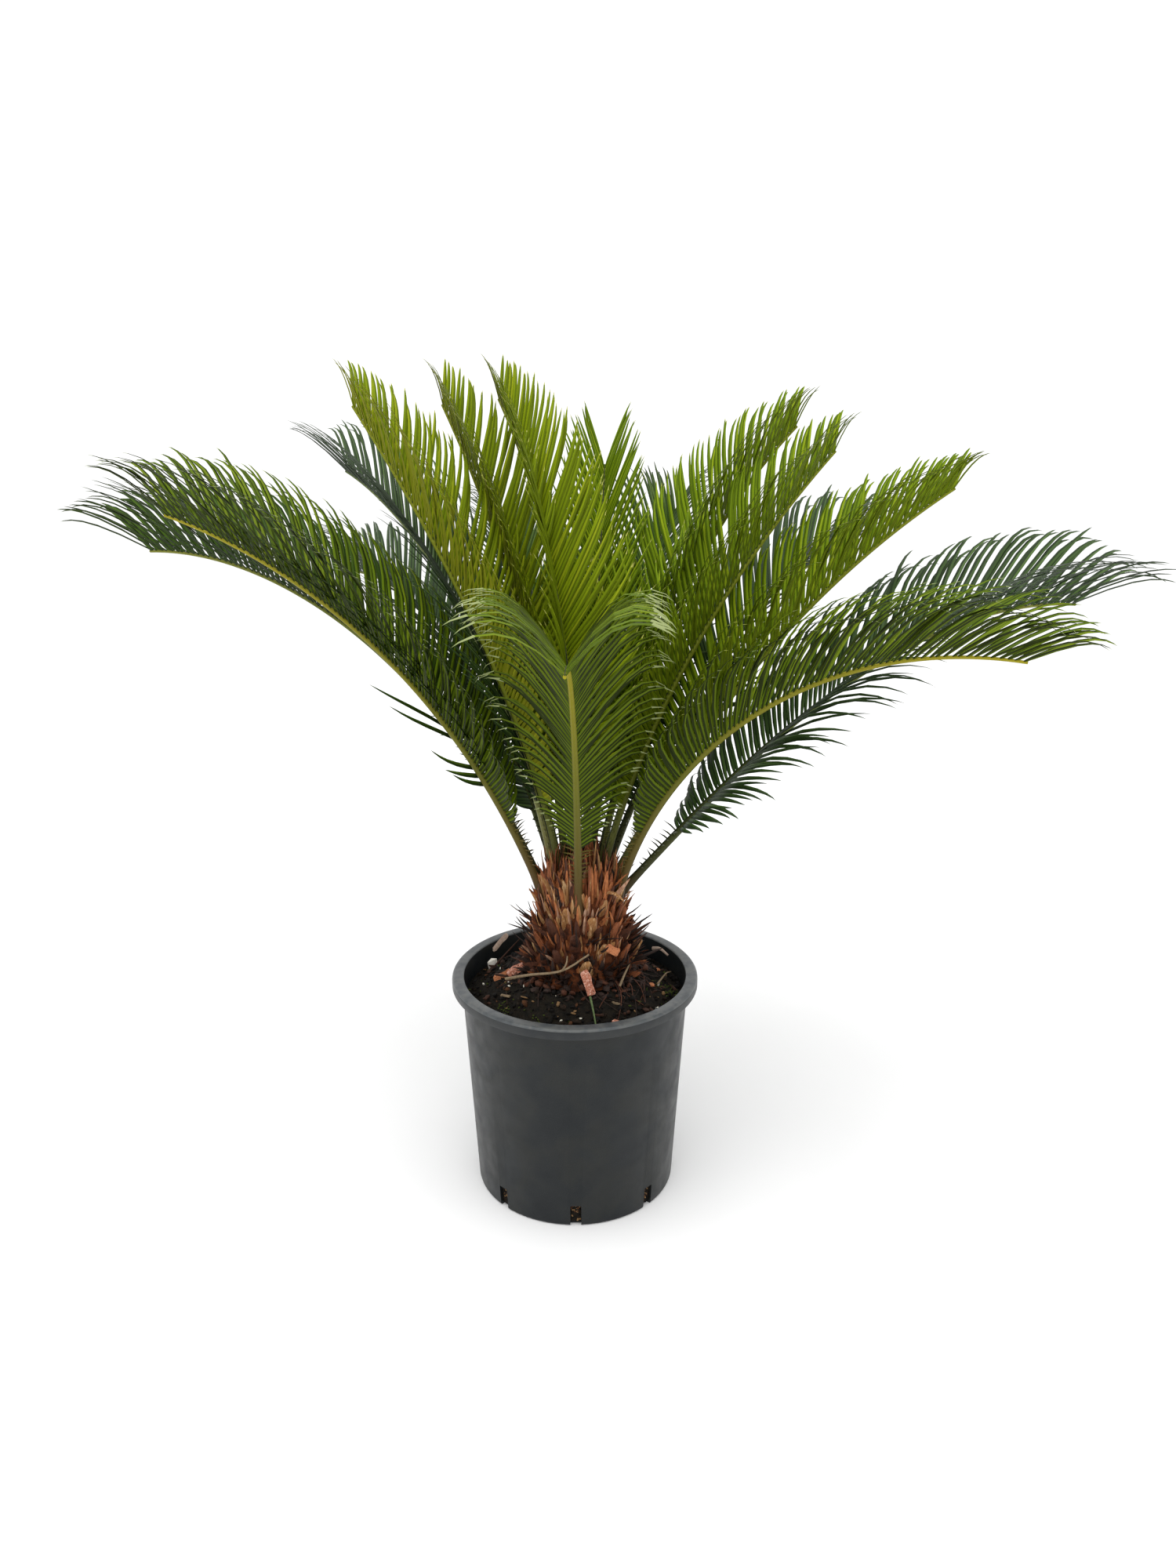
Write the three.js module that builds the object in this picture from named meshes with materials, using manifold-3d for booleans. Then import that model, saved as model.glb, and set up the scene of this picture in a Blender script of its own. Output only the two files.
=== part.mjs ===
// A young sago palm (Cycas) in its nursery pot. Millimetres, +Z up.
// The origin is the centre of the pot's flat underside.

import * as THREE from "three";
import { mergeVertices } from "three/addons/utils/BufferGeometryUtils.js";
import Module from "manifold-3d";

const GAP = 0.35; // between neighbouring solids
const ROUND_SIDES = 48;

// Pot: a tapered plastic shell with a turned-down rim and a ring of drain slots at its foot.
const POT_HEIGHT = 221;
const POT_BASE_RADIUS = 98.6;
const POT_NECK_RADIUS = 110.9; // outer wall where it meets the rim
const POT_WALL = 2.4;
const POT_FLOOR = 3;
const FOOT_ROUND = 2.4;
const RIM_RADIUS = 120;
const RIM_HEIGHT = 10;
const RIM_SKIN = 2.2;
const RIM_ROUND = 1.6;
const SLOT_COUNT = 8;
const SLOT_WIDTH = 10.5;
const SLOT_HEIGHT = 23;
const SLOT_REACH = 5; // how far a slot runs in from the foot's edge

// Potting mix: a little below the rim, and heaped round the trunk, which stands on the heap's flat top.
const MIX_EDGE_HEIGHT = 199;
const HEAP_FOOT_HEIGHT = 203;
const HEAP_FOOT_RADIUS = 97;
const MIX_TOP_HEIGHT = 225;
const HEAP_TOP_RADIUS = 64;

// Trunk: a squat caudex under a spiral of pointed leaf bases. Heights are above its flat foot.
const TRUNK_OFFSET_X = 6;
const TRUNK_SIDES = 20;
const TRUNK_HEIGHT = 98;
const FOOT_RADIUS = 50; // without the flare
const FLARE = 4;
const FLARE_HEIGHT = 18;
const WAIST_RADIUS = 38; // where the domed crown begins
const DOME_HEIGHT = 30;
const TRUNK_STEPS = [0, 0.1, 0.22, 0.48, 0.75, 0.85, 0.925, 0.975]; // as shares of its height
const BASE_COUNT = 42;
const BASE_LENGTH = 25;
const BASE_WIDTH = 13;
const BASE_THICKNESS = 7;
const BASE_SINK = 5;
const BASE_HEIGHTS = [6, 82]; // of the lowest and the highest leaf base
const BASE_SIZES = [1.05, 0.8]; // scale of the lowest and the highest
const BASE_LEANS = [0.8, 0.35]; // how far they lean out, the lowest and the highest
const GOLDEN_ANGLE = 137.508;

// Fronds: ribs that rise from the crown and arch over, with a row of leaflets on either side.
const RIB_STEPS = 60; // steps in which a rib's curve is worked out
const STALK_RINGS = 4;
const RIB_RADII = { foot: 3.2, middle: 2.2, tip: 1.2 };
const STALK_SHARE = 0.16; // the bare stalk below the first leaflets, as a share of the rib
const LEAFLETS_A_SIDE = 16;
const LEAFLET_WIDTH = 9;
const LEAFLET_THICKNESS = 1.8;
const LEAFLET_ARCH = 0.07; // rise of its broadest place above its chord, as a share of its length
const BROADEST_AT = 0.45;
const ROOT_AT = 0.04; // where a leaflet clears the rib, as a share of its length
const ROOT_WIDTH = 12.5;
const ROOT_THICKNESS = 4.4;
const THICKEST_STALK = 0.3; // the rib thins fast up to this share of its length, then slowly
const ROOT_SHARE = 0.42; // the part of a leaflet's spacing that its root takes up on the rib
const PRICKLE_SHARE = 0.12; // length of the first leaflets, as a share of the longest
const FULL_FROM = 0.33; // where the longest leaflets begin, as a share of the leafy stretch
const SHORTER_TRIES = [1, 0.8, 0.6, 0.42];

// Where the stalks stand on the crown: distance from the trunk's axis, and height above its foot.
const RINGS = { outer: [35, 73], middle: [28, 82], inner: [20, 88], heart: [11, 91] };

const TONES = { young: 0x86a02c, grown: 0x5c7d2c, old: 0x41602c };

// How a frond holds its leaflets: the longest as a share of its rib, the lift of the rows from its
// plane at the first and at the last, in degrees, their angles to the rib at the first, halfway and
// last, where on the leafy stretch they begin to shorten, and the last as a share of the longest.
const HABITS = {
  folded: { reach: 0.24, lifts: [54, 63], angles: [82, 46, 31], fullTo: 0.5, last: 0.4 },
  feathered: { reach: 0.26, lifts: [38, 54], angles: [82, 48, 36], fullTo: 0.7, last: 0.62 },
  swept: { reach: 0.26, lifts: [30, 48], angles: [70, 34, 26], fullTo: 0.7, last: 0.75 },
  open: { reach: 0.28, lifts: [38, 50], angles: [82, 56, 46], fullTo: 0.85, last: 1.1 },
  hanging: { reach: 0.26, lifts: [14, 62], angles: [82, 46, 34], fullTo: 0.7, last: 0.72 },
};

// Each frond: heading (from +X towards +Y), slope at its foot and at its tip, how late it bends,
// length along the rib, drift of its heading, roll about its rib, ring, age and habit.
const FRONDS = [
  ["upright_middle", 79, 79, 58, 0.9, 414, 6, 0, "inner", "young", "feathered"],
  ["front", 266, 84, -3, 1.5, 406, 3, 0, "outer", "grown", "open"],
  ["left_upper", 179, 69, 17, 1.28, 516, -14, 0, "outer", "grown", "feathered"],
  ["left_lower", 165, 66, -3, 1.38, 562, -10, -2, "outer", "old", "hanging"],
  ["left_back", 146, 76, 15, 1.5, 512, -18, 0, "middle", "old", "swept"],
  ["rising_left", 160.5, 84, 52, 0.65, 489, -10, 0, "inner", "young", "folded"],
  ["rising_left_inner", 136, 86, 55, 0.95, 472, 0, 0, "inner", "young", "folded"],
  ["upright_left", 116, 91, 49, 1.34, 472, 9, 0, "heart", "young", "folded"],
  ["rising_right_inner", 42, 74, 43, 1.5, 483, -22, 0, "inner", "young", "folded"],
  ["rising_right", 18.5, 77, 42, 0.93, 471, 9, 0, "inner", "young", "folded"],
  ["right_upper", 11, 62, 31, 1.33, 500, 1, 0, "middle", "young", "folded"],
  ["right_middle", 347, 78, -4, 1, 467, -14, 0, "outer", "grown", "feathered"],
  ["right_lower", 5, 48, -5, 2.1, 548, 12, 9, "outer", "old", "hanging"],
  ["back_right", 40, 64, 8, 1.3, 500, 0, 0, "middle", "old", "hanging"],
  ["back_middle_right", 73, 66, 10, 1.3, 510, 0, 0, "middle", "old", "hanging"],
  ["back_middle_left", 102, 64, 5, 1.3, 510, 0, 0, "middle", "old", "hanging"],
  ["back_left", 127, 62, 0, 1.3, 500, 0, 0, "outer", "old", "hanging"],
];

const wasm = await Module();
wasm.setup();

// A closed geometry as a solid. Points that a shape repeats are merged, and the empty faces
// that this leaves on an axis are dropped.
function solidFrom(geometry) {
  geometry.deleteAttribute("normal");
  geometry.deleteAttribute("uv");
  const merged = mergeVertices(geometry, 1e-4);
  const corners = merged.index.array;
  const kept = [];
  for (let i = 0; i < corners.length; i += 3) {
    const [a, b, c] = corners.slice(i, i + 3);
    if (a !== b && b !== c && c !== a) kept.push(a, b, c);
  }
  const vertProperties = new Float32Array(merged.attributes.position.array);
  const triVerts = new Uint32Array(kept);
  return new wasm.Manifold(new wasm.Mesh({ numProp: 3, vertProperties, triVerts }));
}

// The largest connected piece of a solid, without the scraps that cutting leaves.
function largestPiece(solid) {
  const pieces = solid.decompose();
  return pieces.reduce((best, piece) => (piece.volume() > best.volume() ? piece : best));
}

function meshFrom(name, solid, color, roughness) {
  const { vertProperties, triVerts } = solid.getMesh();
  const geometry = new THREE.BufferGeometry();
  geometry.setAttribute("position", new THREE.BufferAttribute(new Float32Array(vertProperties), 3));
  geometry.setIndex(new THREE.BufferAttribute(new Uint32Array(triVerts), 1));
  geometry.computeVertexNormals();
  const material = new THREE.MeshStandardMaterial({ color, roughness, metalness: 0, flatShading: true });
  const mesh = new THREE.Mesh(geometry, material);
  mesh.name = name;
  return mesh;
}

// A solid of revolution about +Z from [radius, height] pairs that start and end on the axis.
function turned(profile, sides) {
  const points = profile.map(([radius, height]) => new THREE.Vector2(radius, height));
  return solidFrom(new THREE.LatheGeometry(points, sides).rotateX(Math.PI / 2));
}

function skin(points, faces) {
  const geometry = new THREE.BufferGeometry().setFromPoints(points);
  geometry.setIndex(faces);
  return geometry;
}

// A closed solid through rings of points, all listed the same way round. A ring of one point is a tip.
// The rings are turned over where they would leave it facing inwards.
function loft(listed) {
  const [first, second] = listed;
  const turn = first[1].clone().sub(first[0]).cross(first[2].clone().sub(first[0]));
  const facing = turn.dot(second[0].clone().sub(first[0])) > 0;
  const rings = facing ? listed : listed.map((ring) => [...ring].reverse());
  const starts = rings.map((_, i) => rings.slice(0, i).reduce((sum, ring) => sum + ring.length, 0));
  const faces = [];
  const sides = rings[0].length;
  for (let i = 2; i < sides; i += 1) faces.push(0, i, i - 1);
  for (let r = 1; r < rings.length; r += 1) {
    const tip = rings[r].length === 1;
    for (let i = 0; i < sides; i += 1) {
      const next = (i + 1) % sides;
      const [a, b] = [starts[r - 1] + i, starts[r - 1] + next];
      if (tip) faces.push(a, b, starts[r]);
      else faces.push(a, b, starts[r] + next, a, starts[r] + next, starts[r] + i);
    }
  }
  const last = starts[rings.length - 1];
  for (let i = 2; i < rings.at(-1).length; i += 1) faces.push(last, last + i - 1, last + i);
  return solidFrom(skin(rings.flat(), faces));
}

// --- Pot and potting mix ---

function buildPot() {
  const underRim = POT_HEIGHT - RIM_HEIGHT;
  const profile = [
    [0, 0],
    [POT_BASE_RADIUS - FOOT_ROUND, 0],
    [POT_BASE_RADIUS, FOOT_ROUND],
    [POT_NECK_RADIUS, POT_HEIGHT - RIM_SKIN],
    [RIM_RADIUS - RIM_SKIN, POT_HEIGHT - RIM_SKIN],
    [RIM_RADIUS - RIM_SKIN, underRim],
    [RIM_RADIUS, underRim],
    [RIM_RADIUS, POT_HEIGHT - RIM_ROUND],
    [RIM_RADIUS - RIM_ROUND, POT_HEIGHT],
    [POT_NECK_RADIUS - POT_WALL, POT_HEIGHT],
    [POT_BASE_RADIUS - POT_WALL, POT_FLOOR],
    [0, POT_FLOOR],
  ];
  let pot = turned(profile, ROUND_SIDES);
  const slotSize = [2 * SLOT_REACH, SLOT_WIDTH, 2 * SLOT_HEIGHT];
  for (let k = 0; k < SLOT_COUNT; k += 1) {
    const slot = new THREE.BoxGeometry(...slotSize).translate(POT_BASE_RADIUS, 0, 0);
    slot.rotateZ(-Math.PI / 2 + (k * 2 * Math.PI) / SLOT_COUNT);
    pot = pot.subtract(solidFrom(slot));
  }
  return pot;
}

function buildMix() {
  const slope = (POT_NECK_RADIUS - POT_BASE_RADIUS) / POT_HEIGHT;
  const innerRadius = (height) => POT_BASE_RADIUS - POT_WALL + slope * height - 2 * GAP;
  const bottom = POT_FLOOR + GAP;
  const profile = [
    [0, bottom],
    [innerRadius(bottom), bottom],
    [innerRadius(MIX_EDGE_HEIGHT), MIX_EDGE_HEIGHT],
    [HEAP_FOOT_RADIUS, HEAP_FOOT_HEIGHT],
    [HEAP_TOP_RADIUS, MIX_TOP_HEIGHT],
    [0, MIX_TOP_HEIGHT],
  ];
  return turned(profile, ROUND_SIDES);
}

// --- Trunk ---

// Radius of the bare trunk at a height: a flared foot, a straight taper and a domed crown.
function trunkRadius(height) {
  const domeFoot = TRUNK_HEIGHT - DOME_HEIGHT;
  const flare = FLARE * Math.max(0, 1 - height / FLARE_HEIGHT) ** 2;
  const taper = THREE.MathUtils.lerp(FOOT_RADIUS, WAIST_RADIUS, Math.min(1, height / domeFoot));
  const intoDome = Math.max(0, (height - domeFoot) / DOME_HEIGHT);
  return (taper + flare) * Math.sqrt(1 - intoDome ** 2);
}

// The trunk without its leaf bases, or the space that it needs when it is grown by a gap.
function bareTrunk(grown) {
  const side = TRUNK_STEPS.map((step) => {
    const height = step * TRUNK_HEIGHT;
    return [trunkRadius(height) + grown, height + grown * step];
  });
  return turned([[0, 0], ...side, [0, TRUNK_HEIGHT + grown]], TRUNK_SIDES);
}

// One leaf base: a four-sided spike that leans up and out from the trunk. Share is its place
// from the lowest, 0, to the highest, 1.
function leafBase(heading, share, grown) {
  const out = new THREE.Vector3(Math.cos(heading), Math.sin(heading), 0);
  const across = new THREE.Vector3(-Math.sin(heading), Math.cos(heading), 0);
  const lean = THREE.MathUtils.lerp(...BASE_LEANS, share);
  const size = THREE.MathUtils.lerp(...BASE_SIZES, share);
  const height = THREE.MathUtils.lerp(...BASE_HEIGHTS, share);
  const along = new THREE.Vector3(0, 0, 1).addScaledVector(out, lean).normalize();
  const thick = new THREE.Vector3().crossVectors(across, along);
  const foot = out.clone().multiplyScalar(trunkRadius(height)).setZ(height);
  foot.addScaledVector(along, -BASE_SINK);
  const half = (BASE_WIDTH / 2) * size + grown;
  const deep = (BASE_THICKNESS / 2) * size + grown;
  const ring = [
    foot.clone().addScaledVector(across, half),
    foot.clone().addScaledVector(thick, -deep),
    foot.clone().addScaledVector(across, -half),
    foot.clone().addScaledVector(thick, deep),
  ];
  const tip = foot.clone().addScaledVector(along, BASE_LENGTH * size + BASE_SINK + 2 * grown);
  return loft([ring, [tip]]);
}

// The trunk with its leaf bases in a spiral. A base that would touch a stalk is left out.
function buildTrunk(ribs) {
  let trunk = bareTrunk(0);
  for (let k = 0; k < BASE_COUNT; k += 1) {
    const share = k / (BASE_COUNT - 1);
    const heading = THREE.MathUtils.degToRad(k * GOLDEN_ANGLE);
    const space = leafBase(heading, share, 2 * GAP);
    const free = ribs.every((rib) => rib.intersect(space).isEmpty());
    if (free) trunk = trunk.add(leafBase(heading, share, 0));
  }
  return largestPiece(trunk);
}

// --- Fronds ---

// The course of a frond's rib: places with the frame there, ahead, aside (to its right) and up.
function ribCourse([, heading, rise, fall, late, length, drift, roll, ring]) {
  const [distance, height] = RINGS[ring];
  const start = THREE.MathUtils.degToRad(heading);
  const place = new THREE.Vector3(distance * Math.cos(start), distance * Math.sin(start), height);
  const course = [];
  for (let i = 0; i <= RIB_STEPS; i += 1) {
    const share = i / RIB_STEPS;
    const slope = THREE.MathUtils.degToRad(rise + (fall - rise) * share ** late);
    const turn = THREE.MathUtils.degToRad(heading + drift * share ** 1.5);
    const flat = new THREE.Vector3(Math.cos(turn), Math.sin(turn), 0);
    const ahead = flat.multiplyScalar(Math.cos(slope)).setZ(Math.sin(slope));
    const aside = new THREE.Vector3(Math.sin(turn), -Math.cos(turn), 0);
    aside.applyAxisAngle(ahead, THREE.MathUtils.degToRad(roll));
    const up = new THREE.Vector3().crossVectors(aside, ahead);
    if (i > 0) place.addScaledVector(ahead, length / RIB_STEPS);
    course.push({ place: place.clone(), ahead, aside, up });
  }
  return course;
}

function frameAt(course, share) {
  const step = Math.min(share * RIB_STEPS, RIB_STEPS - 1e-6);
  const [a, b] = [course[Math.floor(step)], course[Math.floor(step) + 1]];
  const blend = (key) => a[key].clone().lerp(b[key], step % 1);
  return {
    place: blend("place"),
    ahead: blend("ahead").normalize(),
    aside: blend("aside").normalize(),
    up: blend("up").normalize(),
  };
}

// The rib's four corners at a share of its length: right, down, left and up.
function ribRing(course, share) {
  const { place, aside, up } = frameAt(course, share);
  const { foot, middle, tip } = RIB_RADII;
  const { lerp } = THREE.MathUtils;
  const above = (share - THICKEST_STALK) / (1 - THICKEST_STALK);
  const radius = above < 0 ? lerp(foot, middle, share / THICKEST_STALK) : lerp(middle, tip, above);
  const corner = (direction, amount) => place.clone().addScaledVector(direction, amount * radius);
  return [corner(aside, 1), corner(up, -1), corner(aside, -1), corner(up, 1)];
}

// The shares of the rib at which it has a ring: a few on the stalk, then two for each pair of
// leaflets, where their roots start and end, and one at the tip.
function ribShares() {
  const stalk = Array.from({ length: STALK_RINGS }, (_, i) => (STALK_SHARE * i) / STALK_RINGS);
  const spacing = (1 - STALK_SHARE) / LEAFLETS_A_SIDE;
  const roots = Array.from({ length: LEAFLETS_A_SIDE }, (_, k) => {
    const start = STALK_SHARE + (k + (1 - ROOT_SHARE) / 2) * spacing;
    return [start, start + ROOT_SHARE * spacing];
  });
  return [...stalk, ...roots.flat(), 1];
}

// A place on the leafy stretch, from 0 at the first leaflets to 1 at the tip.
const leafyShare = (share) => (share - STALK_SHARE) / (1 - STALK_SHARE);

// Length of the leaflet pair at a place on the rib, as a share of the longest: it grows fast from
// short prickles above the stalk, stays full, and shrinks towards the tip.
function leafletShare(share, { fullTo, last }) {
  const along = leafyShare(share);
  const opening = Math.min(1, PRICKLE_SHARE + (along / FULL_FROM) ** 0.8);
  const closing = Math.max(0, (along - fullTo) / (1 - fullTo)) ** 1.6;
  return opening * (1 - (1 - last) * closing);
}

function leafletAngle(share, { angles: [first, halfway, last] }) {
  const { degToRad, lerp } = THREE.MathUtils;
  const half = 0.5;
  if (share > half) return degToRad(lerp(halfway, last, (share - half) / half));
  return degToRad(lerp(first, halfway, (share - STALK_SHARE) / (half - STALK_SHARE)));
}

// A leaflet as rings: its root, which lies along the rib, its broadest place and its tip. Side is 1 for
// the right row and -1 for the left. Each ring starts at the corner that faces the rib's foot.
function leafletRings({ place, ahead, aside, up, lift, angle }, side, length, grown) {
  const across = aside.clone().multiplyScalar(side * Math.cos(lift)).addScaledVector(up, Math.sin(lift));
  const inwards = aside.clone().multiplyScalar(-side * Math.sin(lift)).addScaledVector(up, Math.cos(lift));
  const along = ahead.clone().multiplyScalar(Math.cos(angle)).addScaledVector(across, Math.sin(angle));
  const broad = ahead.clone().multiplyScalar(Math.sin(angle)).addScaledVector(across, -Math.cos(angle));
  const reach = length + 2 * grown;
  const section = (at, wideway, width, thickness, arch) => {
    const middle = place.clone().addScaledVector(along, at * reach).addScaledVector(inwards, arch);
    const half = width / 2 + grown;
    const deep = side * (thickness / 2 + grown);
    return [[-half, deep], [-half, -deep], [half, -deep], [half, deep]].map(([wide, thick]) =>
      middle.clone().addScaledVector(wideway, wide).addScaledVector(inwards, thick),
    );
  };
  return {
    root: section(ROOT_AT, ahead, ROOT_WIDTH, ROOT_THICKNESS, 0),
    middle: section(BROADEST_AT, broad, LEAFLET_WIDTH, LEAFLET_THICKNESS, LEAFLET_ARCH * length),
    tip: [place.clone().addScaledVector(along, reach)],
  };
}

const leafletSolid = ({ root, middle, tip }) => loft([root, middle, tip]);

// The greatest of a few lengths at which a leaflet clears all that stands near it, or null.
function clearLeaflet(frame, side, longest, obstacles) {
  for (const shorter of SHORTER_TRIES) {
    const length = longest * shorter;
    const space = leafletSolid(leafletRings(frame, side, length, 2 * GAP));
    const { min, max } = space.boundingBox();
    const meets = ({ box }) => min.every((low, i) => box.min[i] < max[i] && box.max[i] > low);
    const near = obstacles.filter(meets);
    if (near.every(({ solid }) => solid.intersect(space).isEmpty())) {
      return leafletRings(frame, side, length, 0);
    }
  }
  return null;
}

// A frond as one closed skin: the rib's four sides, from whose upper two the leaflets are drawn out.
function frondSolid(rings, leaflets) {
  const points = rings.flat();
  const faces = [[0, 2, 1], [0, 3, 2]].flat();
  const band = (near, far) => {
    for (let k = 0; k < 4; k += 1) {
      const next = (k + 1) % 4;
      if (far.length === 1) faces.push(near[k], near[next], far[0]);
      else faces.push(near[k], near[next], far[next], near[k], far[next], far[k]);
    }
  };
  for (let i = 0; i + 1 < rings.length; i += 1) {
    for (let k = 0; k < 4; k += 1) {
      const next = (k + 1) % 4;
      const root = [4 * i + k, 4 * i + next, 4 * i + 4 + next, 4 * i + 4 + k];
      const drawn = leaflets.find(({ segment, corner }) => segment === i && corner === k);
      if (drawn) {
        const start = points.length;
        points.push(...drawn.middle, ...drawn.tip);
        const middle = [start, start + 1, start + 2, start + 3];
        band(root, middle);
        band(middle, [start + 4]);
      } else {
        faces.push(root[0], root[1], root[2], root[0], root[2], root[3]);
      }
    }
  }
  const last = 4 * (rings.length - 1);
  faces.push(last, last + 1, last + 2, last, last + 2, last + 3);
  return solidFrom(skin(points, faces));
}

const plant = new THREE.Group();
plant.position.set(TRUNK_OFFSET_X, 0, MIX_TOP_HEIGHT + GAP);

const crown = bareTrunk(GAP);
const shares = ribShares();
const courses = FRONDS.map(ribCourse);
const ribs = courses.map((course) => loft(shares.map((share) => ribRing(course, share))));
plant.add(meshFrom("trunk", buildTrunk(ribs), 0x8a5433, 0.95));

const standing = ribs.map((solid) => ({ solid, box: solid.boundingBox() }));
FRONDS.forEach((frond, index) => {
  const [name, length, age] = [frond[0], frond[5], frond[9]];
  const habit = HABITS[frond[10]];
  const obstacles = standing.filter((_, i) => i !== index);
  const leaflets = [];
  for (let k = 0; k < LEAFLETS_A_SIDE; k += 1) {
    const segment = STALK_RINGS + 2 * k;
    const share = (shares[segment] + shares[segment + 1]) / 2;
    const lift = THREE.MathUtils.degToRad(THREE.MathUtils.lerp(...habit.lifts, leafyShare(share)));
    const angle = leafletAngle(share, habit);
    const longest = habit.reach * length * leafletShare(share, habit);
    for (const [side, corner] of [[1, 3], [-1, 2]]) {
      const frame = { ...frameAt(courses[index], share), lift, angle };
      const rings = clearLeaflet(frame, side, longest, obstacles);
      if (rings) leaflets.push({ ...rings, segment, corner });
    }
  }
  const rings = shares.map((share) => ribRing(courses[index], share));
  const solid = frondSolid(rings, leaflets).subtract(crown);
  plant.add(meshFrom(`frond_${name}`, largestPiece(solid), TONES[age], 0.55));
  leaflets.map(leafletSolid).forEach((blade) => standing.push({ solid: blade, box: blade.boundingBox() }));
});

const potted = new THREE.Group();
potted.add(meshFrom("pot", buildPot(), 0x3d4144, 0.6));
potted.add(meshFrom("potting_mix", buildMix(), 0x1d1916, 1));
potted.add(plant);

export default potted;
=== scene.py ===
import math
import random

import bmesh
import bpy
import numpy as np
from mathutils import Matrix, Vector, kdtree, noise


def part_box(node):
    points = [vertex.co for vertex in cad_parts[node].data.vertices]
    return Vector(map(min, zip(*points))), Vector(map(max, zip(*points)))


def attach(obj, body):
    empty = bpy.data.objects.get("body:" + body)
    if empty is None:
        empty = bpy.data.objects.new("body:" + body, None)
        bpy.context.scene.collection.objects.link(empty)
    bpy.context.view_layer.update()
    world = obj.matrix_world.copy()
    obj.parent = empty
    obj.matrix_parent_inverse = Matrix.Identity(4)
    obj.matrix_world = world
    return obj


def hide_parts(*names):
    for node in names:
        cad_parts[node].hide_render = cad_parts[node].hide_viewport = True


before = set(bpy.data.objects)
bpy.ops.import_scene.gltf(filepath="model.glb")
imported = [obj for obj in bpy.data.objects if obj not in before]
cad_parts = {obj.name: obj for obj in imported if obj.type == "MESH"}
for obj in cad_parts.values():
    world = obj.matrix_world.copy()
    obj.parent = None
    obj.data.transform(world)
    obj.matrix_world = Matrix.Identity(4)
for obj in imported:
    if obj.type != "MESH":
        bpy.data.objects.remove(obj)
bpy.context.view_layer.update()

# ---- Floor, sky, lamp and camera ----
# A wide pale floor under an even white sky. One broad soft lamp hangs over the plant, a little
# towards its front, and the camera stands before it at the height of the crown, looking down.

FLOOR_WIDTH = 30.0
SKY_STRENGTH = 1.12
LAMP_WIDTH = 2.2
LAMP_PLACE = (-0.2, -0.6, 2.8)
LAMP_POWER = 34.0
CAMERA_PLACE = (0.0, -1.049, 0.738)
CAMERA_DOWN = 17.24
CAMERA_ASIDE = 0.70
LENS = 27.0
FILM_HEIGHT = 36.0
# A noise keeps mostly to this span, so that tints and roughness are spread over it.
NOISE_FROM = 0.3
NOISE_SPAN = 0.4

scene = bpy.context.scene


def tint(code):
    """A colour written as 0xRRGGBB, as the linear light that a shader takes."""
    parts = [(code >> shift & 255) / 255 for shift in (16, 8, 0)]
    return [part / 12.92 if part < 0.04 else ((part + 0.055) / 1.055) ** 2.4 for part in parts] + [1.0]


def shade_tints(ramp, stops):
    """Sets a colour ramp's stops from pairs of position and colour."""
    elements = ramp.color_ramp.elements
    for k, (position, code) in enumerate(stops):
        stop = elements[k] if k < 2 else elements.new(position)
        stop.position = position
        stop.color = tint(code)


def finish(name, tints, grain, roughness, relief, gloss, stretch=(1, 1, 1)):
    """A procedural finish. Its tints drift with a noise of this grain, and one tint alone is plain.
    Its roughness keeps between the two given, and relief is the size and the depth of a finer
    noise. All sizes are in metres."""
    material = bpy.data.materials.new(name)
    material.use_nodes = True
    nodes = material.node_tree.nodes
    join = material.node_tree.links.new
    shader = nodes["Principled BSDF"]
    shader.inputs["Base Color"].default_value = tint(tints[0])
    shader.inputs["Specular IOR Level"].default_value = gloss
    mapping = nodes.new("ShaderNodeMapping")
    mapping.inputs["Scale"].default_value = stretch
    join(nodes.new("ShaderNodeTexCoord").outputs["Object"], mapping.inputs["Vector"])

    def clouds(size, detail):
        texture = nodes.new("ShaderNodeTexNoise")
        texture.inputs["Scale"].default_value = 1 / size
        texture.inputs["Detail"].default_value = detail
        join(mapping.outputs["Vector"], texture.inputs["Vector"])
        return texture.outputs["Fac"]

    if len(tints) > 1:
        places = [NOISE_FROM + NOISE_SPAN * k / (len(tints) - 1) for k in range(len(tints))]
        ramp = nodes.new("ShaderNodeValToRGB")
        shade_tints(ramp, zip(places, tints))
        join(clouds(grain, detail=4), ramp.inputs["Fac"])
        join(ramp.outputs["Color"], shader.inputs["Base Color"])
    spread = nodes.new("ShaderNodeMapRange")
    spread.inputs["From Min"].default_value = NOISE_FROM
    spread.inputs["From Max"].default_value = NOISE_FROM + NOISE_SPAN
    spread.inputs["To Min"].default_value = roughness[0]
    spread.inputs["To Max"].default_value = roughness[1]
    join(clouds(grain / 3, detail=3), spread.inputs["Value"])
    join(spread.outputs["Result"], shader.inputs["Roughness"])
    bump = nodes.new("ShaderNodeBump")
    bump.inputs["Distance"].default_value = relief[1]
    join(clouds(relief[0], detail=6), bump.inputs["Height"])
    join(bump.outputs["Normal"], shader.inputs["Normal"])
    return material


def settle(name, bm, finishes, crease=40):
    """A bmesh as an object with these finishes. Edges turned by more than the crease stay sharp."""
    mesh = bpy.data.meshes.new(name)
    bm.to_mesh(mesh)
    bm.free()
    return set_out(name, mesh, finishes, crease)


def set_out(name, mesh, finishes, crease):
    """A mesh as an object with these finishes."""
    for material in finishes:
        mesh.materials.append(material)
    mesh.shade_smooth()
    mesh.set_sharp_from_angle(angle=math.radians(crease))
    piece = bpy.data.objects.new(name, mesh)
    scene.collection.objects.link(piece)
    return piece


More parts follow.
